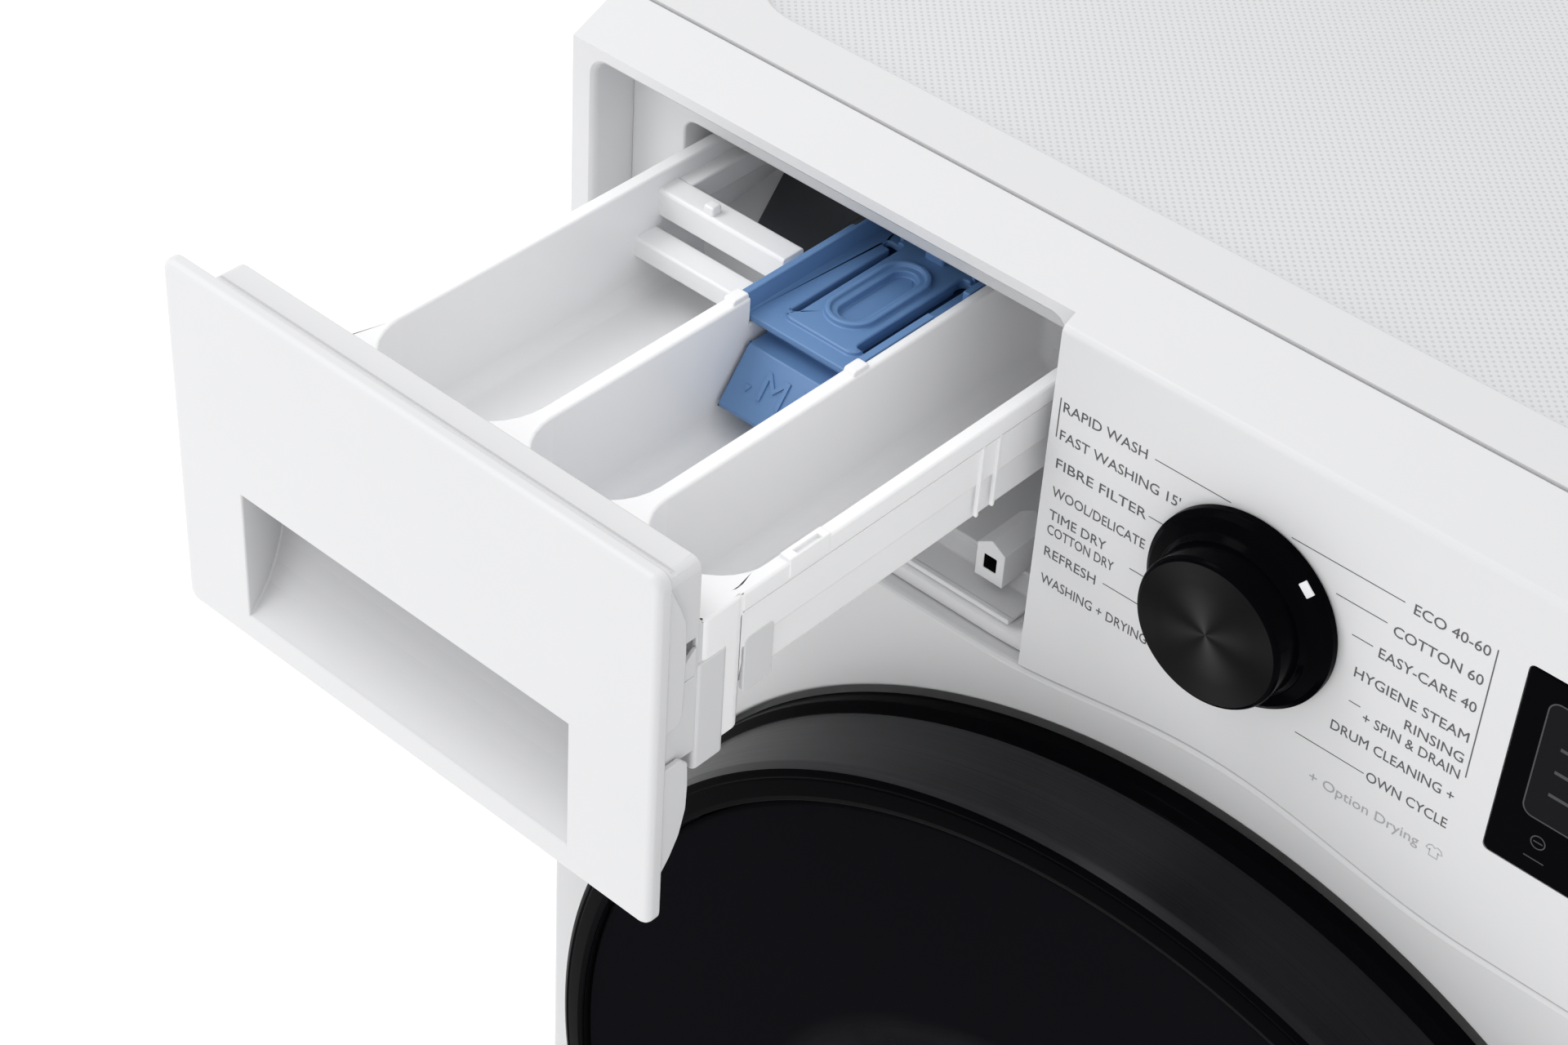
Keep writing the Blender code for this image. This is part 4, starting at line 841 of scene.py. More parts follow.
def make_control_panel():
    """One moulding: a face that leans back above the ridge, a set-back end and the drawer's funnelled bay."""
    back = 0.0300
    face = soften([(0.0, 0.680), (0.0, RIDGE_Z - 0.0010, 0.0035), (0.0012, RIDGE_Z + 0.0006, 0.0025),
                   (back - 0.001, HEIGHT, 0.0008), (back, HEIGHT - 0.001), (back, 0.680)], steps=5)
    step = prism(rounded((-0.320, BAY_X[1] + 0.0036), (0.600, 0.900), 0.0030, 6), "y", (-0.010, BAY_SET))
    below = [(-0.320, 0.650), (0.320, 0.650), *seam(0.320, -0.320, 0.0, 64)]
    rings = []
    for depth, grow in ((-0.010, 0.0018), (BAY_SET, 0.0018), (BAY_SET + 0.0007, 0.0008),
                        (BAY_SET + 0.0018, 0.0002), (BAY_SET + 0.0030, 0.0), (0.050, 0.0)):
        outline = rounded((BAY_X[0] - grow, BAY_X[1] + grow), (BAY_Z[0] - grow, BAY_Z[1] + grow),
                          0.006 + grow, 8)
        rings.append([point(u, depth, v) for u, v in outline])
    steps = [("-", step), ("-", loft(rings)),
             ("-", box((BAY_X[1] + 0.006, HALF - 0.003), (0.0028, 0.050), (0.712, 0.8330))),
             ("-", prism(below, "y", (-0.020, 0.060))),
             ("-", rod(KNOB, 0.0065, SHEET, 48)),
             ("-", prism(rounded(DISPLAY_X, DISPLAY_Z, 0.0022, 5), "y", SHEET)),
             ("-", rod(POWER, 0.0105, SHEET, 64)), ("-", rod(START, 0.0135, SHEET, 64))]
    obj = carve(prism(face, "x", (-HALF, HALF)), steps, 0.0)
    piece("control_panel_skin", obj, WHITE, "casing", "control_panel", angle=50)


def text_mesh(words, size, x=0.0, z=0.0, y=WORDS, thick=0.00003):
    """Words that stand on a line from x, on the front of a face."""
    curve = bpy.data.curves.new("words", "FONT")
    curve.body = words
    curve.size = size
    curve.extrude = thick
    curve.resolution_u = 3
    obj = bpy.data.objects.new("words", curve)
    bpy.context.scene.collection.objects.link(obj)
    obj.matrix_world = Matrix.Translation(point(x, y, z)) @ Matrix.Rotation(math.pi / 2, 4, "X")
    bpy.context.view_layer.update()
    mesh = bpy.data.meshes.new_from_object(obj.evaluated_get(bpy.context.evaluated_depsgraph_get()))
    mesh.transform(obj.matrix_world)
    bpy.data.objects.remove(obj, do_unlink=True)
    made = bpy.data.objects.new("words", mesh)
    bpy.context.scene.collection.objects.link(made)
    return made


def line(x, z, width=0.00028, top=INK[0]):
    """A printed line from one x to another, or up where z is a pair."""
    if isinstance(z, tuple):
        return box((x - width / 2, x + width / 2), (top, INK[1]), z)
    return box(x, (top, INK[1]), (z - width / 2, z + width / 2))


def band(outer, inner, span):
    """A closed frame between two outlines of as many points."""
    count = len(outer)
    verts = [point(u, depth, v) for depth in span for ring in (outer, inner) for u, v in ring]
    faces = []
    for i in range(count):
        j = (i + 1) % count
        faces += [[i, j, count + j, count + i],
                  [2 * count + i, 3 * count + i, 3 * count + j, 2 * count + j],
                  [i, 2 * count + i, 2 * count + j, j],
                  [count + i, count + j, 3 * count + j, 3 * count + i]]
    return mesh_of(verts, faces)


def outlined(points, width):
    """A closed printed line round points."""
    centre = Vector((sum(u for u, _ in points), sum(v for _, v in points))) / len(points)
    return band(points, [Vector(p) + (centre - Vector(p)).normalized() * width for p in points], INK)


def make_print():
    """Generic programme names, their leader lines and the separators beside them."""
    em, drop = 0.0056, 0.0020
    left = ((0.8085, "RAPID WASH", -0.043), (0.7975, "FAST WASHING 15'", -0.0285),
            (0.7860, "FIBRE FILTER", -0.040), (0.7745, "WOOL/DELICATE", -0.0388),
            (0.7650, "TIME DRY", -0.053), (0.7588, "COTTON DRY", -0.049), (0.7495, "REFRESH", -0.055),
            (0.7380, "WASHING + DRYING", -0.0325))
    right = ((0.8080, "ECO 40-60", 0.056), (0.7965, "COTTON 60", 0.051), (0.7855, "EASY-CARE 40", 0.048),
             (0.7735, "HYGIENE STEAM", 0.0415), (0.7650, "RINSING", 0.0615),
             (0.7585, "+ SPIN & DRAIN", 0.0475), (0.7490, "DRUM CLEANING +", 0.0375),
             (0.7375, "OWN CYCLE", 0.053))
    shapes = []
    for z, words, end in left:
        shapes.append(fitted(text_mesh(words, em), -0.076, end, z - drop))
    for z, words, start in right:
        shapes.append(fitted(text_mesh(words, em), start, 0.0825, z - drop))
    for x, z in (((-0.040, -0.011), 0.8083), ((-0.039, -0.033), 0.7860), ((-0.043, -0.0365), 0.7620),
                 ((-0.052, -0.0346), 0.7500), ((0.0116, 0.0526), 0.8083), ((0.030, 0.0485), 0.7975),
                 ((0.038, 0.0456), 0.7862), ((0.0417, 0.0459), 0.7615), ((0.026, 0.052), 0.7375)):
        shapes.append(line(x, z))
    shapes += [line(-0.0774, (0.7957, 0.8112), 0.0004), line(0.0846, (0.7587, 0.8102), 0.0004)]
    piece("panel_print", merged(*shapes), PRINT, "casing", weighted=False)
    options = [fitted(text_mesh("+ Option Drying", em), 0.034, 0.0750, 0.7243 - drop)]
    # A small shirt marks the drying option.
    shirt = [(-0.0010, 0.0022), (-0.0024, 0.0015), (-0.0031, 0.0000), (-0.0019, -0.0004), (-0.0016, 0.0001),
             (-0.0016, -0.0026), (0.0016, -0.0026), (0.0016, 0.0001), (0.0019, -0.0004), (0.0031, 0.0000),
             (0.0024, 0.0015), (0.0010, 0.0022), (0.0, 0.0014)]
    options.append(outlined([(0.0807 + u, 0.7243 + v) for u, v in shirt], 0.00030))
    piece("option_print", merged(*options), PALE_PRINT, "casing", weighted=False)


def fitted(obj, x_from, x_to, z):
    """Moves words to a line and stretches them a little between two ends."""
    xs = [v.co.x for v in obj.data.vertices]
    scale = (x_to - x_from) / (max(xs) - min(xs))
    low = min(xs)
    for vertex in obj.data.vertices:
        vertex.co.x = x_from + (vertex.co.x - low) * scale
        vertex.co.z += z
    return obj


def make_display():
    """A black window with a dim screen, on which stand a time, two numbers, six keys and three bars."""
    window = carve(prism(rounded((DISPLAY_X[0] + GAP, DISPLAY_X[1] - GAP),
                                 (DISPLAY_Z[0] + GAP, DISPLAY_Z[1] - GAP), 0.0022, 6),
                         "y", (-0.0003, 0.0045)), [], 0.0005, 3)
    piece("display_glass", window, GLOSS, "casing", "display_window")
    shapes = []
    screen_x, screen_z = (0.104, 0.226), (0.759, 0.804)
    outer = rounded(screen_x, screen_z, 0.004, 8)
    inner = rounded((screen_x[0] + 0.0005, screen_x[1] - 0.0005),
                    (screen_z[0] + 0.0005, screen_z[1] - 0.0005), 0.0035, 8)
    shapes.append(band(outer, inner, GLOW))
    screen = prism(rounded((screen_x[0] + 0.0006, screen_x[1] - 0.0006),
                           (screen_z[0] + 0.0006, screen_z[1] - 0.0006), 0.0034, 8),
                   "y", (-0.00034, -0.00030))
    piece("display_screen", screen, DIM, "casing", weighted=False)
    shapes.append(text_mesh("1:30", 0.0200, 0.140, 0.7760, -0.00035))
    shapes.append(text_mesh("40", 0.0085, 0.199, 0.7760, -0.00035))
    shapes.append(text_mesh("1200", 0.0060, 0.199, 0.7900, -0.00035))
    for i in range(6):
        x_at = 0.112 + 0.0205 * i
        shapes.append(turned([(0.0022, GLOW[0]), (0.0026, GLOW[0]), (0.0026, GLOW[1]), (0.0022, GLOW[1])],
                             24, (x_at, 0.7510)))
        shapes.append(line((x_at - 0.0035, x_at + 0.0035), 0.7440, 0.0004, GLOW[0]))
        shapes.append(line((x_at - 0.0016, x_at + 0.0016), 0.7510, 0.0004, GLOW[0]))
    for i in range(3):
        shapes.append(box((0.111, 0.119), GLOW, (0.7700 + 0.0090 * i, 0.7712 + 0.0090 * i)))
    piece("display_marks", merged(*shapes), SCREEN, "casing", weighted=False)


def make_knob():
    """A stepped knob with a spun face and a white mark on its skirt."""
    profile = soften([(0, -0.0203), (0.0252, -0.0203, 0.0004), (0.0262, -0.0198, 0.0006),
                      (0.0268, -0.0188, 0.0008), (0.0269, -0.0092, 0.0012), (0.0285, -0.0068, 0.0014),
                      (0.0330, -0.0052, 0.0016), (0.0350, -0.0036, 0.0010), (0.0350, -0.0006, 0.0002),
                      (0.0040, -0.0006), (0.0040, 0.0090), (0, 0.0090)])
    knob = to_object(turned(profile, 160, KNOB))

    def on_face(polygon):
        x_at, y_at, z_at = polygon.center
        return y_at < FRONT - 0.0200 and math.hypot(x_at - KNOB[0], z_at - KNOB[1]) < 0.0254

    piece("knob_body", knob, GLOSS, "knob", "program_knob", more=[(SPUN, on_face)])
    # The white mark stands on the skirt, up and to the right.
    a = math.radians(46)
    across, away = Vector((-math.sin(a), 0, math.cos(a))), Vector((math.cos(a), 0, math.sin(a)))
    verts = []
    for lift in (0.0004, -0.0006):
        for r, half, depth in ((0.0316, -0.0026, -0.00560), (0.0340, -0.0026, -0.00450),
                               (0.0340, 0.0026, -0.00450), (0.0316, 0.0026, -0.00560)):
            verts.append(point(KNOB[0], depth - lift, KNOB[1]) + away * r + across * half)
    mark = mesh_of(verts, [[0, 1, 2, 3], [7, 6, 5, 4], [0, 4, 5, 1], [1, 5, 6, 2], [2, 6, 7, 3],
                           [3, 7, 4, 0]])
    piece("knob_mark", carve(mark, [], 0.0002), WHITE_PRINT, "knob", weighted=False)


def make_buttons():
    """Two round caps on stems."""
    for name, spot, radius, body, node in (("power_cap", POWER, 0.0100, "power", "power_button"),
                                           ("start_cap", START, 0.0130, "start", "start_button")):
        profile = soften([(0, -0.0008), (radius * 0.55, -0.0009, 0.004), (radius - 0.0012, -0.0013, 0.0012),
                          (radius, -0.0002, 0.0008), (radius, 0.0055), (0.0030, 0.0055), (0.0030, 0.0115),
                          (0, 0.0115)])
        piece(name, turned(profile, 96, spot), WHITE, body, node)


def make_symbols():
    """A broken ring and a stroke on the power button, a triangle and two bars on the start button."""
    x, z = POWER
    steps = 32
    verts, faces = [], []
    for k in range(steps + 1):
        t = math.radians(120 + 300 * k / steps)
        verts += [point(x + r * math.cos(t), depth, z + r * math.sin(t)) for r in (0.0026, 0.0031)
                  for depth in SYMBOL]
        if k:
            b = 4 * k
            faces += [[b - 4, b, b + 2, b - 2], [b - 3, b - 1, b + 3, b + 1], [b - 4, b - 3, b + 1, b],
                      [b - 2, b + 2, b + 3, b - 1]]
    faces += [[0, 2, 3, 1], [len(verts) - 4, len(verts) - 3, len(verts) - 1, len(verts) - 2]]
    stroke = box((x - 0.00025, x + 0.00025), SYMBOL, (z + 0.0006, z + 0.0036))
    piece("power_symbol", merged(mesh_of(verts, faces), stroke), PRINT, "power",
          weighted=False)
    x, z = START
    depth = (-0.00105, -0.00080)
    play = prism([(x - 0.0042, z - 0.0030), (x + 0.0002, z), (x - 0.0042, z + 0.0030)], "y", depth)
    bars = [box((x + o, x + o + 0.0009), depth, (z - 0.0028, z + 0.0028)) for o in (0.0016, 0.0034)]
    piece("start_symbol", merged(play, *bars), PRINT, "start", weighted=False)


# The detergent drawer. Depths are those of the shut drawer, and out moves each shape to where it stands.


def make_drawer_cover():
    """The drawer's outer cover with the scooped handle pocket and four flanges."""
    x, z = (BAY_X[0] - 0.0085, BAY_X[1] + 0.0005), (0.6968, RIDGE_Z)
    rings = []
    for depth, inset in ((0.0056, 0.0008), (0.0052, 0.0002), (0.0046, 0.0), (0.0020, 0.0), (0.0010, 0.0003),
                         (0.0004, 0.0008), (0.0001, 0.0014), (0.0, 0.0022)):
        outline = rounded((x[0] + inset, x[1] - inset), (z[0] + inset, z[1] - inset), 0.0042 - inset * 0.6,
                          8)
        rings.append([point(u, depth, v, OUT) for u, v in outline])
    scoop = [(-0.006, 0.7066), (-0.0005, 0.7071), (0.0016, 0.7086), (0.0052, 0.7130), (0.0088, 0.7180),
             (0.0122, 0.7250), (0.0149, 0.7330), (0.0170, 0.7415), (0.0183, 0.7500), (0.0186, 0.7560),
             (0.0180, 0.7583), (0.0160, 0.7592), (-0.006, 0.7592)]
    steps = [("+", box((POCKET_X[0] - 0.0022, POCKET_X[1] + 0.0022), (0.0026, 0.0203), (0.7053, 0.7614),
                       out=OUT)),
             ("-", prism(scoop, "x", POCKET_X, OUT))]
    obj = carve(loft(rings), steps, 0.0006, 3, 36)
    # Side flanges reach back into the bay, above and below a gap. The right one has a clip window.
    upper = soften([(0.0030, 0.7740), (0.0112, 0.7742, 0.0015), (0.0128, 0.7775, 0.004),
                    (0.0135, 0.8000, 0.02), (0.0130, 0.8140, 0.006), (0.0096, 0.8225, 0.004),
                    (0.0062, 0.8300, 0.001), (0.0030, 0.8300)], steps=6)
    lower = soften([(0.0030, 0.7050), (0.0035, 0.7062, 0.0006), (0.0045, 0.7140, 0.006),
                    (0.0095, 0.7205, 0.008), (0.0134, 0.7275, 0.008), (0.0160, 0.7370, 0.01),
                    (0.0164, 0.7470, 0.01), (0.0160, 0.7560, 0.0015), (0.0128, 0.7592, 0.0015),
                    (0.0030, 0.7592)], steps=6)
    flanges = []
    for edge in (BAY_X[0] + 0.0006, BAY_X[1] - 0.0026):
        for flange in (upper, lower):
            flanges.append(carve(prism(flange, "x", (edge, edge + 0.0020), OUT), [], 0.0005, 2))
    face = FRONT - OUT

    # Faces in the handle pocket take the pocket plastic with its painted shade.
    def in_pocket_shade(polygon):
        x_at, y_at, z_at = polygon.center
        return (face + 0.0004 < y_at < face + 0.0192 and POCKET_X[0] - 0.0004 < x_at < POCKET_X[1] + 0.0004
                and 0.7066 < z_at < 0.7596)

    piece("drawer_cover", merged(obj, *flanges), WHITE, "drawer", "drawer_front", angle=50,
          more=[(POCKET, in_pocket_shade)])


def make_drawer_panel():
    """The panel behind the cover, with the tray's cheek, its latch, a column and a tab."""
    inner_x = (BAY_X[0] + 0.003, BAY_X[1] - 0.003)
    panel = prism(rounded(inner_x, (0.7054, 0.8312), 0.0040, 6), "y", (0.0062, 0.0212), OUT)
    groove = box((inner_x[0] - 0.002, inner_x[1] + 0.002), (0.0110, 0.0118), (0.8303, 0.840), out=OUT)
    steps = [("-", box((inner_x[0] + 0.002, inner_x[1] - 0.002), (0.0125, 0.030), (0.7078, 0.8290),
                       out=OUT)),
             ("-", box((POCKET_X[0] - 0.003, POCKET_X[1] + 0.003), (0.000, 0.030), (0.690, 0.762),
                       out=OUT)),
             ("-", groove),
             ("-", box((-0.1100, -0.0800), (0.0050, 0.0300), (0.690, 0.7565), out=OUT)),
             ("-", box((-0.0900, -0.0840), (0.0145, 0.0200), (0.787, 0.802), out=OUT))]
    obj = carve(panel, steps, 0.0005, 2, 36)
    # The tray's cheek behind the flange, with its clip.
    cheek = prism(soften([(0.0100, 0.7600), (0.0262, 0.7600, 0.003), (0.0240, 0.8060, 0.002),
                          (0.0100, 0.8060)]),
                  "x", (-0.0895, -0.0878), OUT)
    cheek = carve(cheek, [("-", box((-0.0900, -0.0850), (0.0150, 0.0205), (0.786, 0.802), out=OUT))],
                  0.0004)
    latch = carve(prism(soften([(0.0150, 0.7880), (0.0200, 0.7880, 0.0006), (0.0200, 0.7990, 0.0006),
                                (0.0150, 0.7950)], steps=3),
                        "x", (-0.0880, -0.0864), OUT), [], 0.0004)
    # Below the tray a column stiffens the panel and a tab hangs from the tray's wall.
    column = prism(rounded((-0.1000, -0.0868), (0.0206, 0.0340), 0.0018, 4), "z", (0.7480, 0.7900), OUT)
    column = carve(column, [("-", box((-0.0982, -0.0886), (0.0224, 0.0360), (0.7400, 0.8000), out=OUT))],
                   0.0005)
    tab = prism(rounded((0.0430, 0.0560), (0.7640, 0.7860), 0.0022, 5), "x", (-0.0900, -0.0882), OUT)
    shapes = merged(obj, cheek, latch, column, carve(tab, [], 0.0004))
    piece("drawer_back_panel", shapes, WHITE, "drawer", "drawer_inner_panel", angle=50)


def make_tray():
    """Three compartments with filleted floors, and a dark plate behind the first one's bars as painted shade.
    """
    x, depth, z = (-0.2605, -0.0885), (0.0215, 0.275), (0.758, 0.806)
    body = box(x, (0.030, depth[1]), z, 0.018, lambda m: lengthwise(m) and m.z < -0.9, 6, out=OUT)
    front = prism(rounded((x[0] - 0.002, x[1] + 0.0012), (depth[0], 0.0420), 0.004, 6), "z", (0.7530, z[1]),
                  OUT)
    rim = box((x[1] - 0.0015, x[1] + 0.0012), (0.0400, depth[1] - 0.001), (0.7985, z[1]), out=OUT)
    steps = [("+", front), ("+", rim)]
    radii = (0.024, 0.0225, 0.0198)
    for xs, r in zip(COMPARTMENTS, radii):
        steps.append(("-", basin(xs, COMPARTMENT_DEPTH, (0.7610, 0.830), (0.004, 0.004, r, r), 0.006, 8,
                                 OUT)))
    seat = (COMPARTMENTS[0][1] - 0.0005, COMPARTMENTS[1][1] + 0.0022)
    steps += [("-", box((x[1] - 0.0020, x[1] + 0.004), (0.0425, 0.300), (0.740, 0.7825), out=OUT)),
              ("-", box(seat, (INSERT_FRONT, COMPARTMENT_DEPTH[1] - 0.004), (0.7955, 0.830), out=OUT)),
              ("-", box((-0.250, -0.215), (0.213, 0.240), (0.750, 0.790), out=OUT)),
              ("-", box((-0.178, -0.146), (0.215, 0.238), (0.750, 0.790), out=OUT))]
    obj = carve(body, steps, 0.0010, 3, 36)
    piece("tray_moulding", merged(obj, *tray_details(x)), TRAY, "drawer", "drawer_tray", angle=50)
    # The dark plate is painted shade: it stands in for the shadow behind the first compartment's bars.
    spots = ((-0.2377, 0.2100), (-0.2125, 0.2090), (-0.2115, 0.2425), (-0.2517, 0.2425))
    plate = loft([[point(u, v, level_z + (v - 0.2100) * 0.15, OUT) for u, v in spots]
                  for level_z in (0.7600, 0.7790)])
    piece("shade_plate", carve(plate, [], 0.0008, 3), LID, "drawer")


def tray_details(x):
    """The bars of the first compartment, the ribs, clips, wall steps and ticks."""
    first = COMPARTMENTS[0]
    extras = [
        carve(prism(soften([(0.2000, 0.7600), (0.2425, 0.7600), (0.2425, 0.7800), (0.2060, 0.7750, 0.003)]),
                    "x", (first[0] - 0.0005, first[1] + 0.0005), OUT), [], 0.0005),
        carve(prism(soften([(0.1790, 0.7885), (0.1885, 0.7900, 0.001), (0.1885, 0.8000, 0.001),
                            (0.1780, 0.8000, 0.0012)], steps=3),
                    "x", (first[0] - 0.001, first[1] - 0.0062), OUT), [], 0.0005),
        carve(box((first[1] - 0.0085, first[1] + 0.002), (0.1800, 0.1870), (0.7895, 0.7955), out=OUT), [],
              0.0008),
        carve(box((first[0] - 0.001, first[1] + 0.002), (0.1670, 0.1780), (0.7770, 0.7850), out=OUT), [],
              0.0010),
        carve(box((first[0] - 0.001, first[0] + 0.0060), (0.1885, 0.2420), (0.7905, 0.7995), out=OUT), [],
              0.0008),
        carve(box((first[0] + 0.0200, first[0] + 0.0245), (0.1790, 0.1835), (0.7990, 0.8035), out=OUT), [],
              0.0008),
    ]
    # The right wall has two ribs and, on its rim, a clip slot. The left rim has a clip at the front.
    wall, rim = x[1], x[1] + 0.0012
    for at in (0.1510, 0.1590):
        extras.append(carve(box((wall - 0.0005, wall + 0.0010), (at, at + 0.0012), (0.7700, 0.7990),
                                out=OUT), [], 0.0003))
    clip = box((wall - 0.0030, rim + 0.0003), (0.0600, 0.0780), (0.8000, 0.8075), out=OUT)
    extras.append(carve(clip, [("-", box((wall - 0.0012, rim - 0.0004), (0.0640, 0.0750), (0.7900, 0.8200),
                                         out=OUT))], 0.0005))
    extras.append(carve(box((x[0] - 0.0040, x[0] + 0.0020), (0.0260, 0.0330), (0.8000, 0.8060), out=OUT),
                        [("-", box((x[0] - 0.0030, x[0] - 0.0010), (0.0280, 0.0400), (0.8020, 0.8200),
                                   out=OUT))], 0.0004))
    # Divider walls end in a small round step at the insert.
    for wall_x in ((COMPARTMENTS[0][1] + COMPARTMENTS[1][0]) / 2,
                   (COMPARTMENTS[1][1] + COMPARTMENTS[2][0]) / 2):
        bump = prism(soften([(0.1405, 0.8050), (0.1415, 0.8078, 0.0012), (0.1485, 0.8078, 0.0012),
                             (0.1487, 0.7950), (0.1405, 0.7950)]),
                     "x", (wall_x - 0.0024, wall_x + 0.0024), OUT)
        extras.append(carve(bump, [], 0.0006))
    # Raised ticks that tell the compartments apart.
    for spot, count in ((-0.223, 2), (-0.162, 3), (-0.113, 1)):
        for k in range(count):
            u = spot + 0.0032 * (k - (count - 1) / 2)
            extras.append(box((u - 0.0005, u + 0.0005), (0.0292, 0.0332), (0.8058, 0.8063), 0.0002, None, 1,
                              OUT))
    return extras


def make_insert():
    """The blue siphon insert: a slab with an oval plate, two slots, and a slanted plate in front."""
    x = (COMPARTMENTS[0][1] + 0.0004, COMPARTMENTS[1][1] + 0.0018)
    back = COMPARTMENT_DEPTH[1] - 0.005
    low, top = 0.7959, 0.8058
    front = INSERT_FRONT + GAP
    middle = (COMPARTMENTS[1][0] + COMPARTMENTS[1][1]) / 2
    body_x = (COMPARTMENTS[1][0] + 0.0015, COMPARTMENTS[1][1] - 0.0015)
    slab = box(x, (front, back), (low, top), out=OUT)
    slope = soften([(0.1330, 0.7720), (0.1340, 0.7700, 0.0008), (0.1580, 0.7700), (0.1580, 0.7896),
                    (0.1490, 0.7896, 0.0010), (0.1468, 0.7896, 0.0010)])
    field = basin((x[0] + 0.0026, x[1] - 0.0026), (0.130, back - 0.0026), (low + 0.0026, 0.820), 0.0020,
                  0.0012, 5, OUT)
    steps = [("-", field),
             ("-", box((x[0] - 0.001, x[0] + 0.0030), (0.2050, 0.2200), (0.8020, 0.820), out=OUT)),
             ("-", box((x[1] - 0.0030, x[1] + 0.001), (0.1850, 0.2020), (0.8015, 0.820), out=OUT)),
             ("+", prism(slope, "x", body_x, OUT)),
             ("+", box(body_x, (0.1560, 0.2100), (0.7700, low + 0.001), out=OUT)),
             ("+", prism(rounded((middle - 0.0160, middle + 0.0160), (0.1560, 0.2260), 0.0040, 6), "z",
                         (low + 0.001, low + 0.0040), OUT)),
             ("+", prism(rounded((middle - 0.0095, middle + 0.0095), (0.1640, 0.2080), 0.0094, 10), "z",
                         (low + 0.002, low + 0.0060), OUT)),
             ("-", prism(rounded((middle - 0.0075, middle + 0.0075), (0.1660, 0.2060), 0.0074, 10), "z",
                         (low + 0.0046, 0.820), OUT)),
             ("-", prism(rounded((middle - 0.0050, middle + 0.0050), (0.1685, 0.2035), 0.0049, 10), "z",
                         (low + 0.0020, 0.820), OUT)),
             ("-", box((body_x[0] + 0.002, body_x[1] - 0.002), (0.1580, 0.2080), (0.7600, low - 0.001),
                       out=OUT))]
    for side in (-1, 1):
        centre = middle + side * 0.0128
        span = sorted((centre, centre + side * 0.0036))
        hook = sorted((centre + side * 0.0002, centre + side * 0.0072))
        steps.append(("-", prism(rounded(span, (0.160, 0.214), 0.0017, 5), "z", (0.780, 0.815), OUT)))
        steps.append(("-", prism(rounded(hook, (0.2110, 0.2142), 0.0014, 5), "z", (0.780, 0.815), OUT)))
    obj = carve(slab, steps, 0.0006, 2, 36)
    extras = [carve(box((middle - 0.0042, middle + 0.0042), (0.2140, 0.2225), (low + 0.002, 0.8056),
                        out=OUT), [], 0.0012, 3),
              carve(box((x[0] + 0.0018, x[0] + 0.0032), (front, back), (low + 0.002, 0.8062), out=OUT), [],
                    0.0004),
              carve(box((middle + 0.0150, middle + 0.0165), (0.2160, back - 0.001), (low + 0.002, 0.8045),
                        out=OUT), [], 0.0004),
              carve(box((middle - 0.0165, middle - 0.0150), (0.2160, back - 0.001), (low + 0.002, 0.8045),
                        out=OUT), [], 0.0004)]
    # A dark blue sheet under the slab, there only as painted shade at the bottom of the slots.
    under = prism(rounded((body_x[0] + 0.0005, body_x[1] - 0.0005), (0.1560, 0.2300), 0.002, 4), "z",
                  (low - 0.0012, low - 0.0004), OUT)
    piece("insert_shade", under, SLOT_SHADE, "drawer", weighted=False)
    shapes = merged(obj, *extras, *fill_level(middle))
    piece("insert_moulding", shapes, BLUE, "drawer", "siphon_insert", angle=50)


def fill_level(middle):
    """A raised triangle and a word on the insert's slanted front plate."""
    up = Vector((0, 0.1468 - 0.1330, 0.7896 - 0.7720)).normalized()
    away = Vector((1, 0, 0)).cross(up)
    start = point(middle - 0.0170, 0.1330, 0.7720, OUT)
    verts = [start + Vector((u, 0, 0)) + up * v + away * d
             for d in (-0.0003, 0.0005) for u, v in ((0.0018, 0.0105), (0.0044, 0.0105), (0.0031, 0.0080))]
    triangle = mesh_of(verts, [[0, 1, 2], [5, 4, 3], [0, 3, 4, 1], [1, 4, 5, 2], [2, 5, 3, 0]])
    word = text_mesh("MAX", 0.0150, thick=0.0007)
    home = point(0, WORDS, 0)
    for vertex in word.data.vertices:
        local = vertex.co - home
        vertex.co = start + Vector((0.0070 + local.x, 0, 0)) + up * (0.0075 + local.z) - away * local.y
    return triangle, word


def stud(profile, place):
    """A small turned boss that stands out from a wall on the left."""
    bm = turned(soften(profile, steps=3), 32, (0, 0), "z")
    bmesh.ops.rotate(bm, verts=bm.verts, cent=point(0, 0, 0),
                     matrix=Matrix.Rotation(math.radians(90), 3, "Y"))
    bmesh.ops.translate(bm, verts=bm.verts, vec=Vector(place))
    return bm


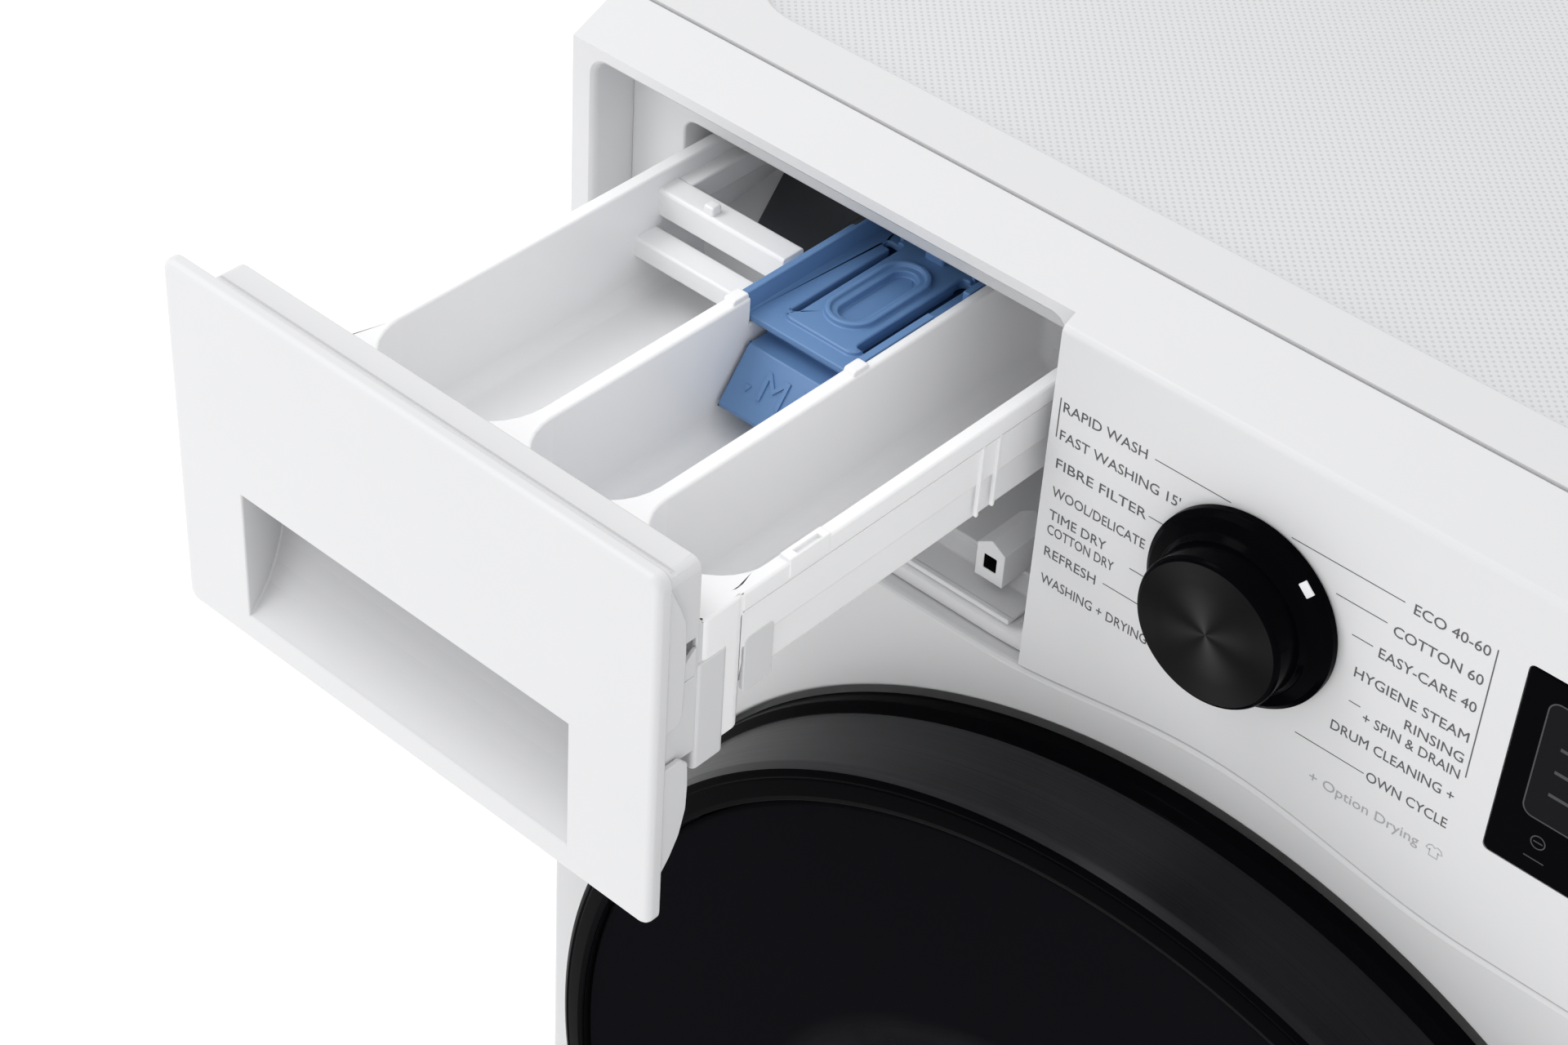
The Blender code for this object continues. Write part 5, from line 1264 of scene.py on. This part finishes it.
def make_housing():
    """The box that the drawer slides into, with the bay's floor, a hollow boss and two rails, and its lid."""
    x, depth = (-0.268, -0.0845), (0.026, 0.300)
    top = 0.8345
    body = box(x, (0.0342, depth[1]), (0.706, top))
    opening = (-0.2650, -0.0865)
    steps = [("+", prism(rounded((BAY_X[0] - 0.0002, BAY_X[1] + 0.0002),
                                 (BAY_Z[0] - 0.0002, BAY_Z[1] + 0.0002), 0.0060, 8), "y",
                         (depth[0], depth[0] + 0.003))),
             ("+", box((x[0] + 0.0005, x[1] - 0.0005), (0.0272, 0.0362), (0.7055, 0.8214))),
             ("+", rod(OUTLET, 0.0210, (0.6800, 0.7075), 64, "z")),
             ("-", prism(rounded(opening, (0.709, 0.8135), 0.0050, 6), "y", (0.0200, depth[1] - 0.003))),
             ("-", box((x[0] + 0.003, opening[1]), (0.0372, depth[1] - 0.003), (0.8000, 0.850))),
             ("-", rod(OUTLET, 0.0175, (0.660, 0.715), 64, "z"))]
    obj = carve(body, steps, 0.0009, 3, 36)
    floor = soften([(0.0064, 0.7026), (0.0064, 0.7046, 0.0006), (0.0084, 0.7046, 0.0006),
                    (0.0090, 0.7040, 0.0006), (0.0215, 0.7040, 0.0020), (0.0275, 0.7087, 0.0016),
                    (0.0330, 0.7087), (0.0330, 0.7026)])
    floor = carve(prism(floor, "x", (BAY_X[0] + 0.0070, BAY_X[1] - 0.0070)), [], 0.0003)
    boss = [(-0.1125, 0.7086), (-0.1005, 0.7086), (-0.1005, 0.7225, 0.0006), (-0.1065, 0.7262, 0.0008),
            (-0.1125, 0.7225, 0.0006)]
    slot_x, slot_z = (-0.1092, -0.1038), (0.7132, 0.7192)
    boss = carve(prism(soften(boss, steps=3), "y", (0.0137, 0.0370)),
                 [("-", prism(rounded(slot_x, slot_z, 0.0004, 3), "y", (0.0100, 0.0260)))], 0.0003)
    foot = box((-0.1120, -0.1010), (0.0262, 0.0366), (0.7072, 0.7200))
    nub = stud([(0, 0.0), (0.0030, 0.0), (0.0030, 0.0022, 0.0008), (0, 0.0026)],
               (opening[0] - 0.0004, 0.0440, 0.7960))
    rails = [carve(box(span, (0.0500, 0.2900), (0.8095, 0.8125)), [], 0.0006)
             for span in ((opening[0] - 0.0005, opening[0] + 0.0022),
                          (opening[1] - 0.0022, opening[1] + 0.0005))]
    button = stud([(0, -0.0006), (0.0026, -0.0006), (0.0026, 0.0016, 0.0006), (0.0012, 0.0022, 0.0005),
                   (0, 0.0018)],
                  (BAY_X[0] + 0.0008, 0.0180, 0.7700))

    # The slot in the boss is painted near-black: painted shade in its depth.
    def in_slot(face):
        x_at, y_at, z_at = face.center
        return (slot_x[0] - GAP < x_at < slot_x[1] + GAP and slot_z[0] - GAP < z_at < slot_z[1] + GAP
                and FRONT + 0.015 < y_at < FRONT + 0.030)

    piece("dispenser_moulding", merged(obj, floor, boss, foot, nub, button, *rails), WHITE, "casing",
          "dispenser_housing", angle=50, more=[(RECESS_SHADE, in_slot)])
    lid = carve(box((x[0], x[1]), (0.0342, depth[1] - 0.001), (top + GAP, 0.8405), 0.001, upright),
                [("-", box((-0.250, -0.100), (0.050, 0.280), (0.8300, 0.8375)))], 0.0006)
    nozzles = [turned([(0.0016, 0.8330), (0.0034, 0.8330), (0.0042, 0.8376), (0.0016, 0.8376)], 20,
                      (-0.235 + 0.0225 * i, 0.090 + 0.055 * j), "z")
               for i in range(6) for j in range(3)]
    piece("dispenser_lid_moulding", merged(lid, *nozzles), LID, "casing", "dispenser_lid")


# The door.


def make_door_ring():
    """The brushed outer ring, with a finger gap on the right and two gaps for the hinge."""
    ring = soften([(RING_R + 0.0006, -0.0014), (RING_R + 0.0006, -0.0078, 0.0012),
                   (0.2528, -0.0108, 0.0012), (0.2502, -0.0405, 0.004), (0.2486, -0.0440, 0.0014),
                   (0.2464, -0.0452, 0.0008), (0.2456, -0.0449, 0.0003), (0.2450, -0.0453, 0.0006),
                   (0.2392, -0.0461, 0.0008), (0.2368, -0.0456, 0.0008), (0.2365, -0.0385),
                   (0.2465, -0.0385), (0.2497, -0.0110), (0.2525, -0.0075), (0.2525, -0.0014)])
    steps = [("-", box((0.2385, 0.270), (-0.0300, 0.010), (DRUM_Z - 0.045, DRUM_Z + 0.045), 0.002,
                       lambda m: abs(m.x) < 0.1))]
    for side in (-1, 1):
        gap = sorted((DRUM_Z + side * 0.075, DRUM_Z + side * 0.111))
        steps.append(("-", box((-0.250, -0.2250), (-0.0310, 0.010), gap)))
    obj = carve(turned(ring, 224), steps, 0.0)

    def glossy(polygon):
        x_at, y_at, z_at = polygon.center
        return y_at < FRONT - 0.0438 or (math.hypot(x_at, z_at - DRUM_Z) > 0.2525 and y_at < FRONT)

    piece("door_bezel", obj, BRUSHED, "door", "door_ring", angle=40, weighted=False, more=[(GLOSS, glossy)])


def make_door_glass():
    """The dark window in front."""
    glass = soften([(0, -0.0452), (0.120, -0.0449, 0.2), (0.200, -0.0443, 0.1), (0.2340, -0.0436, 0.0010),
                    (0.2357, -0.0424, 0.0008), (0.2357, -0.0395), (0.2300, -0.0398), (0, -0.0400)])
    piece("door_window", turned(glass, 192), GLASS, "door", "door_glass", angle=30, weighted=False)


def make_door_frame():
    """The frame behind the ring, held by screws, with gaps for the hinge."""
    frame_profile = soften([(0.2465, -0.0100), (0.2465, 0.0040, 0.0015), (0.2430, 0.0055, 0.0012),
                            (0.1680, 0.0055, 0.0015), (0.1535, 0.0035, 0.001), (0.1535, -0.0020),
                            (0.2440, -0.0020), (0.2440, -0.0100)], steps=3)
    steps = []
    for side in (-1, 1):
        gap = sorted((DRUM_Z + side * 0.096, DRUM_Z + side * 0.112))
        steps.append(("-", box((-0.260, -0.2240), (-0.020, 0.020), gap)))
    obj = carve(turned(frame_profile, 192), steps, 0.0)
    heads = [screw_head(*around(0.232, a), 0.0050, 0.0036) for a in range(30, 390, 60)]
    piece("door_frame", merged(obj, *heads), GREY, "door", "door_inner_frame", angle=40, weighted=False)


def make_bowl():
    """The clear glass bowl behind the window."""
    bowl = [(0, 0.1000), (0.0600, 0.0990, 0.05), (0.1080, 0.0955, 0.03), (0.1325, 0.0820, 0.03),
            (0.1420, 0.0540, 0.05), (0.1450, 0.0080, 0.05), (0.1460, -0.0065, 0.001),
            (0.1700, -0.0065, 0.001), (0.1700, -0.0025, 0.001), (0.1515, -0.0025, 0.002),
            (0.1490, 0.0100, 0.02), (0.1460, 0.0550, 0.05), (0.1360, 0.0850, 0.03), (0.1100, 0.0990, 0.03),
            (0.0600, 0.1030, 0.05), (0, 0.1040)]
    piece("door_glass_bowl", turned(soften(bowl, steps=6), 128), BOWL, "door", "door_bowl", angle=40,
          weighted=False)


def make_hook():
    """The door's hook, which enters the lock."""
    hook = carve(box((0.1980, 0.2170), (0.0059, 0.0085), (0.415, 0.445), 0.002, lengthwise),
                 [("+", box((0.2045, 0.2100), (0.0070, 0.0360), (0.4245, 0.4355))),
                  ("+", box((0.2015, 0.2060), (0.0300, 0.0360), (0.4246, 0.4354)))], 0.0005)
    piece("latch_hook", hook, STEEL, "door", "door_hook")


def make_gasket():
    """The folded rubber boot between the front panel and the tub."""
    gasket = soften([(0.1860, 0.0110, 0.001), (0.1860, 0.0138, 0.0005), (0.1775, 0.0138),
                     (0.1775, 0.0300, 0.002), (0.1920, 0.0350, 0.002), (0.1920, 0.0400, 0.002),
                     (0.1836, 0.0430, 0.002), (0.1836, 0.0585), (0.1804, 0.0585), (0.1804, 0.0455, 0.0003),
                     (0.1735, 0.0455, 0.001), (0.1735, 0.0425, 0.001), (0.1815, 0.0400, 0.002),
                     (0.1885, 0.0375, 0.001), (0.1750, 0.0325, 0.002), (0.1665, 0.0340, 0.0012),
                     (0.1655, 0.0310, 0.0012), (0.1745, 0.0285, 0.002), (0.1745, 0.0110, 0.0015)])
    piece("door_boot", turned(gasket, 144), GREY_RUBBER, "casing", "door_gasket", angle=60, weighted=False)


def make_lock():
    """The lock behind the front panel, with the hook's slot."""
    lock = carve(box((0.1945, 0.2270), (0.0165, 0.0500), (0.398, 0.462), 0.0015),
                 [("-", box(HOOK_X, (0.0100, 0.0450), HOOK_Z))], 0.0005)
    piece("lock_body", lock, GREY, "casing", "door_lock")


def make_hinge():
    """A plate with two ears on the front panel, and the door's arm with its two barrels."""
    ear_x = (HINGE[0] - 0.0045, HINGE[0] + 0.0045)
    steps = []
    arm_steps = []
    for side in (-1, 1):
        ear_z = sorted((DRUM_Z + side * 0.100, DRUM_Z + side * 0.108))
        barrel_z = sorted((DRUM_Z + side * 0.0780, DRUM_Z + side * 0.0990))
        steps += [("+", box(ear_x, (HINGE[1], 0.0115), ear_z)),
                  ("+", rod(HINGE, 0.00449, (ear_z[0] + 0.0001, ear_z[1] - 0.0001), 48, "z"))]
        arm_steps += [("+", rod(HINGE, 0.0058, barrel_z, 48, "z")),
                      ("+", box((HINGE[0], -0.1980), (-0.0254, -0.0186),
                                (barrel_z[0] + 0.0002, barrel_z[1] - 0.0002))),
                      ("+", box((-0.2079, -0.1951), (-0.0200, -0.0024),
                                (barrel_z[0] + 0.0001, barrel_z[1] - 0.0001)))]
    reach = (DRUM_Z - 0.120, DRUM_Z + 0.120)
    bracket = carve(box((-0.2340, -0.2100), (0.0105, 0.0138), (DRUM_Z - 0.110, DRUM_Z + 0.110)),
                    [*steps, ("-", rod(HINGE, 0.0030, reach, 32, "z"))], 0.0006)
    piece("hinge_plate", bracket, STEEL, "casing", "hinge_bracket")
    arm = carve(box((-0.2080, -0.1950), (-0.0255, -0.0185), (DRUM_Z - 0.0990, DRUM_Z + 0.0990)),
                [*arm_steps, ("-", rod(HINGE, 0.0030, reach, 32, "z"))], 0.0006)
    piece("hinge_casting", arm, CAST, "door", "door_hinge_arm")


def make_drum():
    """The drum's sheet, rolled round a lip at the mouth, and its three lifters."""
    shell = soften([(0, 0.4285), (0.060, 0.4285, 0.01), (0.075, 0.4250, 0.01), (0.150, 0.4250, 0.01),
                    (0.165, 0.4285, 0.01), (0.2305, 0.4285, 0.006), (0.2385, 0.4190, 0.006),
                    (0.2385, 0.0830, 0.006), (0.2275, 0.0715, 0.004), (0.180, 0.0715, 0.004),
                    (0.168, 0.0742, 0.0006), (0.1678, 0.0722, 0.0006), (0.180, 0.0700, 0.004),
                    (0.228, 0.0700, 0.004), (0.240, 0.0820, 0.004), (0.240, 0.4200, 0.004),
                    (0.232, 0.4300, 0.004), (0, 0.4300)])
    piece("drum_skin", turned(shell, 160), DRUM, "drum", "drum_shell", angle=40,
          weighted=False)
    for name, angle in (("lifter_top", 90), ("lifter_left", 210), ("lifter_right", 330)):
        a = math.radians(angle - 90)
        rings = []
        for depth, t in ((0.1000, 0.55), (0.1040, 0.80), (0.1120, 0.95), (0.1300, 1.0), (0.3900, 1.0),
                         (0.4080, 0.95), (0.4160, 0.80), (0.4200, 0.55)):
            outline = []
            for u, v in soften([(-0.0225, 0.2350), (0.0225, 0.2350), (0.0095, 0.1980, 0.006),
                                (0.0045, 0.1942, 0.003), (-0.0045, 0.1942, 0.003),
                                (-0.0095, 0.1980, 0.006)]):
                w = 0.2350 - (0.2350 - v) * t
                outline.append(point(u * math.cos(a) - w * math.sin(a), depth,
                                     DRUM_Z + u * math.sin(a) + w * math.cos(a)))
            rings.append(outline)
        piece(name + "_moulding", loft(rings), WHITE, "drum", name, angle=40, weighted=False)


def make_flap():
    """The lower flap and the pump filter behind it."""
    flap_x, flap_z = (FLAP_X[0] + 0.0007, FLAP_X[1] - 0.0007), (FLAP_Z[0] + 0.0025, FLAP_Z[1] - 0.0007)
    flap = carve(prism(rounded(flap_x, flap_z, 0.0060, 6), "y", (0.0002, 0.0022)),
                 [("-", prism(rounded((0.212, 0.228), (0.1655, 0.180), 0.002, 4), "y", SHEET))],
                 0.0006, 3)
    piece("flap_cover", flap, WHITE, "flap", "filter_flap")
    px, pz = FILTER
    cap = carve(turned(soften([(0, 0.0080), (0.0365, 0.0080, 0.001), (0.0365, 0.0146), (0.0300, 0.0146),
                               (0.0300, 0.0250), (0.0120, 0.0250), (0.0120, 0.0760), (0.0290, 0.0760),
                               (0.0290, 0.0900), (0, 0.0900)], steps=3),
                       96, (px, pz)),
                [("+", box((px - 0.026, px + 0.026), (0.0038, 0.0090), (pz - 0.005, pz + 0.005), 0.0015,
                           lambda m: m.y < 0.5))], 0.0005)
    piece("filter_cap", cap, GREY, "filter", "pump_filter")


def make_feet():
    """Four screw feet, each with a stepped pad and a thread."""
    for row, depth in FOOT_ROWS:
        for hand, side in (("left", -1), ("right", 1)):
            name = "foot_" + row + "_" + hand
            base = soften([(0, 0), (0.0185, 0, 0.001), (0.021, 0.0018, 0.001), (0.021, 0.006, 0.0015),
                           (0.0145, 0.0125, 0.002), (0.0095, 0.0130), (0.0095, 0.0178), (0.0052, 0.0180)],
                          steps=3)
            thread = []
            z = 0.0185
            while z < 0.0450:
                thread += [(0.0052, z), (0.0044, z + 0.0005)]
                z += 0.0010
            profile = [*base, *thread, (0.0044, 0.0456), (0, 0.0460)]
            piece(name + "_turned", turned(profile, 48, (side * FOOT_X, depth), "z"), BLACK_RUBBER,
                  name + "_body", name, angle=50, weighted=False)


def make_connections():
    """The water inlet, the cord's gland and the bellows below the dispenser."""
    valve = carve(box((VALVE[0] - 0.028, VALVE[0] + 0.028), (0.540, 0.578),
                      (VALVE[1] - 0.020, VALVE[1] + 0.020), 0.003),
                  [("+", rod(VALVE, 0.0122, (0.570, 0.600), 64)),
                   ("+", rod(VALVE, 0.0190, (0.576, 0.5834), 64)),
                   ("+", rod((VALVE[0], VALVE[1] + 0.006), 0.0065, (0.515, 0.545), 32)),
                   ("+", box((VALVE[0] - 0.012, VALVE[0] + 0.012), (0.545, 0.570), (0.735, 0.760))),
                   ("-", rod(VALVE, 0.0090, (0.586, 0.620), 64))], 0.0005)
    thread = [turned([(0.0118, d), (0.0130, d + 0.0006), (0.0130, d + 0.0010), (0.0118, d + 0.0016)], 48,
                     VALVE) for d in (0.5860, 0.5882, 0.5904, 0.5926, 0.5948, 0.5970)]
    piece("inlet_valve_body", merged(valve, *thread), WHITE, "casing", "inlet_valve")
    gland = [turned(soften([(0.0045, 0.5780), (0.0130, 0.5780), (0.0130, 0.5965, 0.001),
                            (0.0085, 0.5985, 0.001), (0.0045, 0.5985, 0.0005)], steps=3), 48, GLAND)]
    nut = prism([around(0.0190, 60 * k, GLAND) for k in range(6)], "y", (0.5865, 0.5900))
    gland.append(carve(nut, [("-", rod(GLAND, 0.0110, (0.580, 0.600), 48))], 0.0005))
    piece("gland_body", merged(*gland), GREY, "casing", "cord_gland")
    folds, low, high = 6, 0.6305, 0.6795
    pitch = (high - low) / folds
    outer = [(0.0225, low)]
    for i in range(folds):
        outer += [(0.0265, low + (i + 0.35) * pitch), (0.0265, low + (i + 0.65) * pitch),
                  (0.0225, low + (i + 1.0) * pitch)]
    inner = [(radius - 0.003, z) for radius, z in reversed(outer)]
    piece("dispenser_bellows", turned(soften(outer + inner, 0.0008, 2), 48, OUTLET, "z"), BLACK_RUBBER,
          "casing", "dispenser_hose", angle=60, weighted=False)


for make in (make_cabinet, make_rear, make_front_panel, make_top_cover, make_control_panel, make_print,
             make_display, make_knob, make_buttons, make_symbols, make_drawer_cover, make_drawer_panel,
             make_tray, make_insert, make_housing, make_door_ring, make_door_glass, make_door_frame,
             make_bowl, make_hook, make_gasket, make_lock, make_hinge, make_drum, make_flap, make_feet,
             make_connections):
    make()

# CAD nodes that are shown as they are get their slot's finish and smooth shading.
slot_of = {row["node"]: row["material_slot"] for row in frame["record"]["subparts"]}
for name, node in frame["nodes"].items():
    node.data.materials.clear()
    node.data.materials.append(SLOTS[slot_of[name]])
    node.data.shade_smooth()
    node.data.set_sharp_from_angle(angle=math.radians(35))


# Floor, light and camera.

floor = to_object(box((-6.0, 6.0), (-6.0, 6.0), (-0.020, 0.0)))
floor.name = "studio_floor"
floor.data.materials.append(plain("studio floor", (0.90, 0.90, 0.90), 0.7, spec=0.1, vary=0.004, grain=0.02,
                                  fine=300.0, broad=1.5, glow=0.30, glow_colour=(1.0, 1.0, 1.0, 1.0)))

world = bpy.data.worlds.new("studio")
bpy.context.scene.world = world
world.use_nodes = True
background = world.node_tree.nodes["Background"]
background.inputs["Color"].default_value = (1.0, 1.0, 1.0, 1.0)
background.inputs["Strength"].default_value = 0.96


def lamp(name, place, target, size, power):
    """A square lamp that faces a point."""
    data = bpy.data.lights.new(name, "AREA")
    data.shape = "SQUARE"
    data.size = size
    data.energy = power
    obj = bpy.data.objects.new(name, data)
    bpy.context.scene.collection.objects.link(obj)
    obj.location = place
    obj.rotation_euler = (Vector(target) - Vector(place)).to_track_quat("-Z", "Y").to_euler()


lamp("key", (-0.90, -0.80, 2.10), (-0.15, -0.20, 0.80), 0.7, 6.8)
lamp("front", (-1.15, -1.60, 1.45), (-0.15, -0.35, 0.75), 0.9, 4.0)

camera_data = bpy.data.cameras.new("camera")
camera_data.lens = 75.15
camera_data.sensor_width = 36.0
camera_data.clip_start = 0.05
camera = bpy.data.objects.new("camera", camera_data)
bpy.context.scene.collection.objects.link(camera)
camera.location = (0.37892, -0.88958, 1.43524)
heading = Vector((-0.49082, 0.58753, -0.64335))
roll = Quaternion((0, 0, 1), math.radians(3.867))
camera.rotation_mode = "QUATERNION"
camera.rotation_quaternion = heading.to_track_quat("-Z", "Y") @ roll
bpy.context.scene.camera = camera
bpy.context.scene.view_settings.view_transform = "Standard"

bpy.context.view_layer.update()
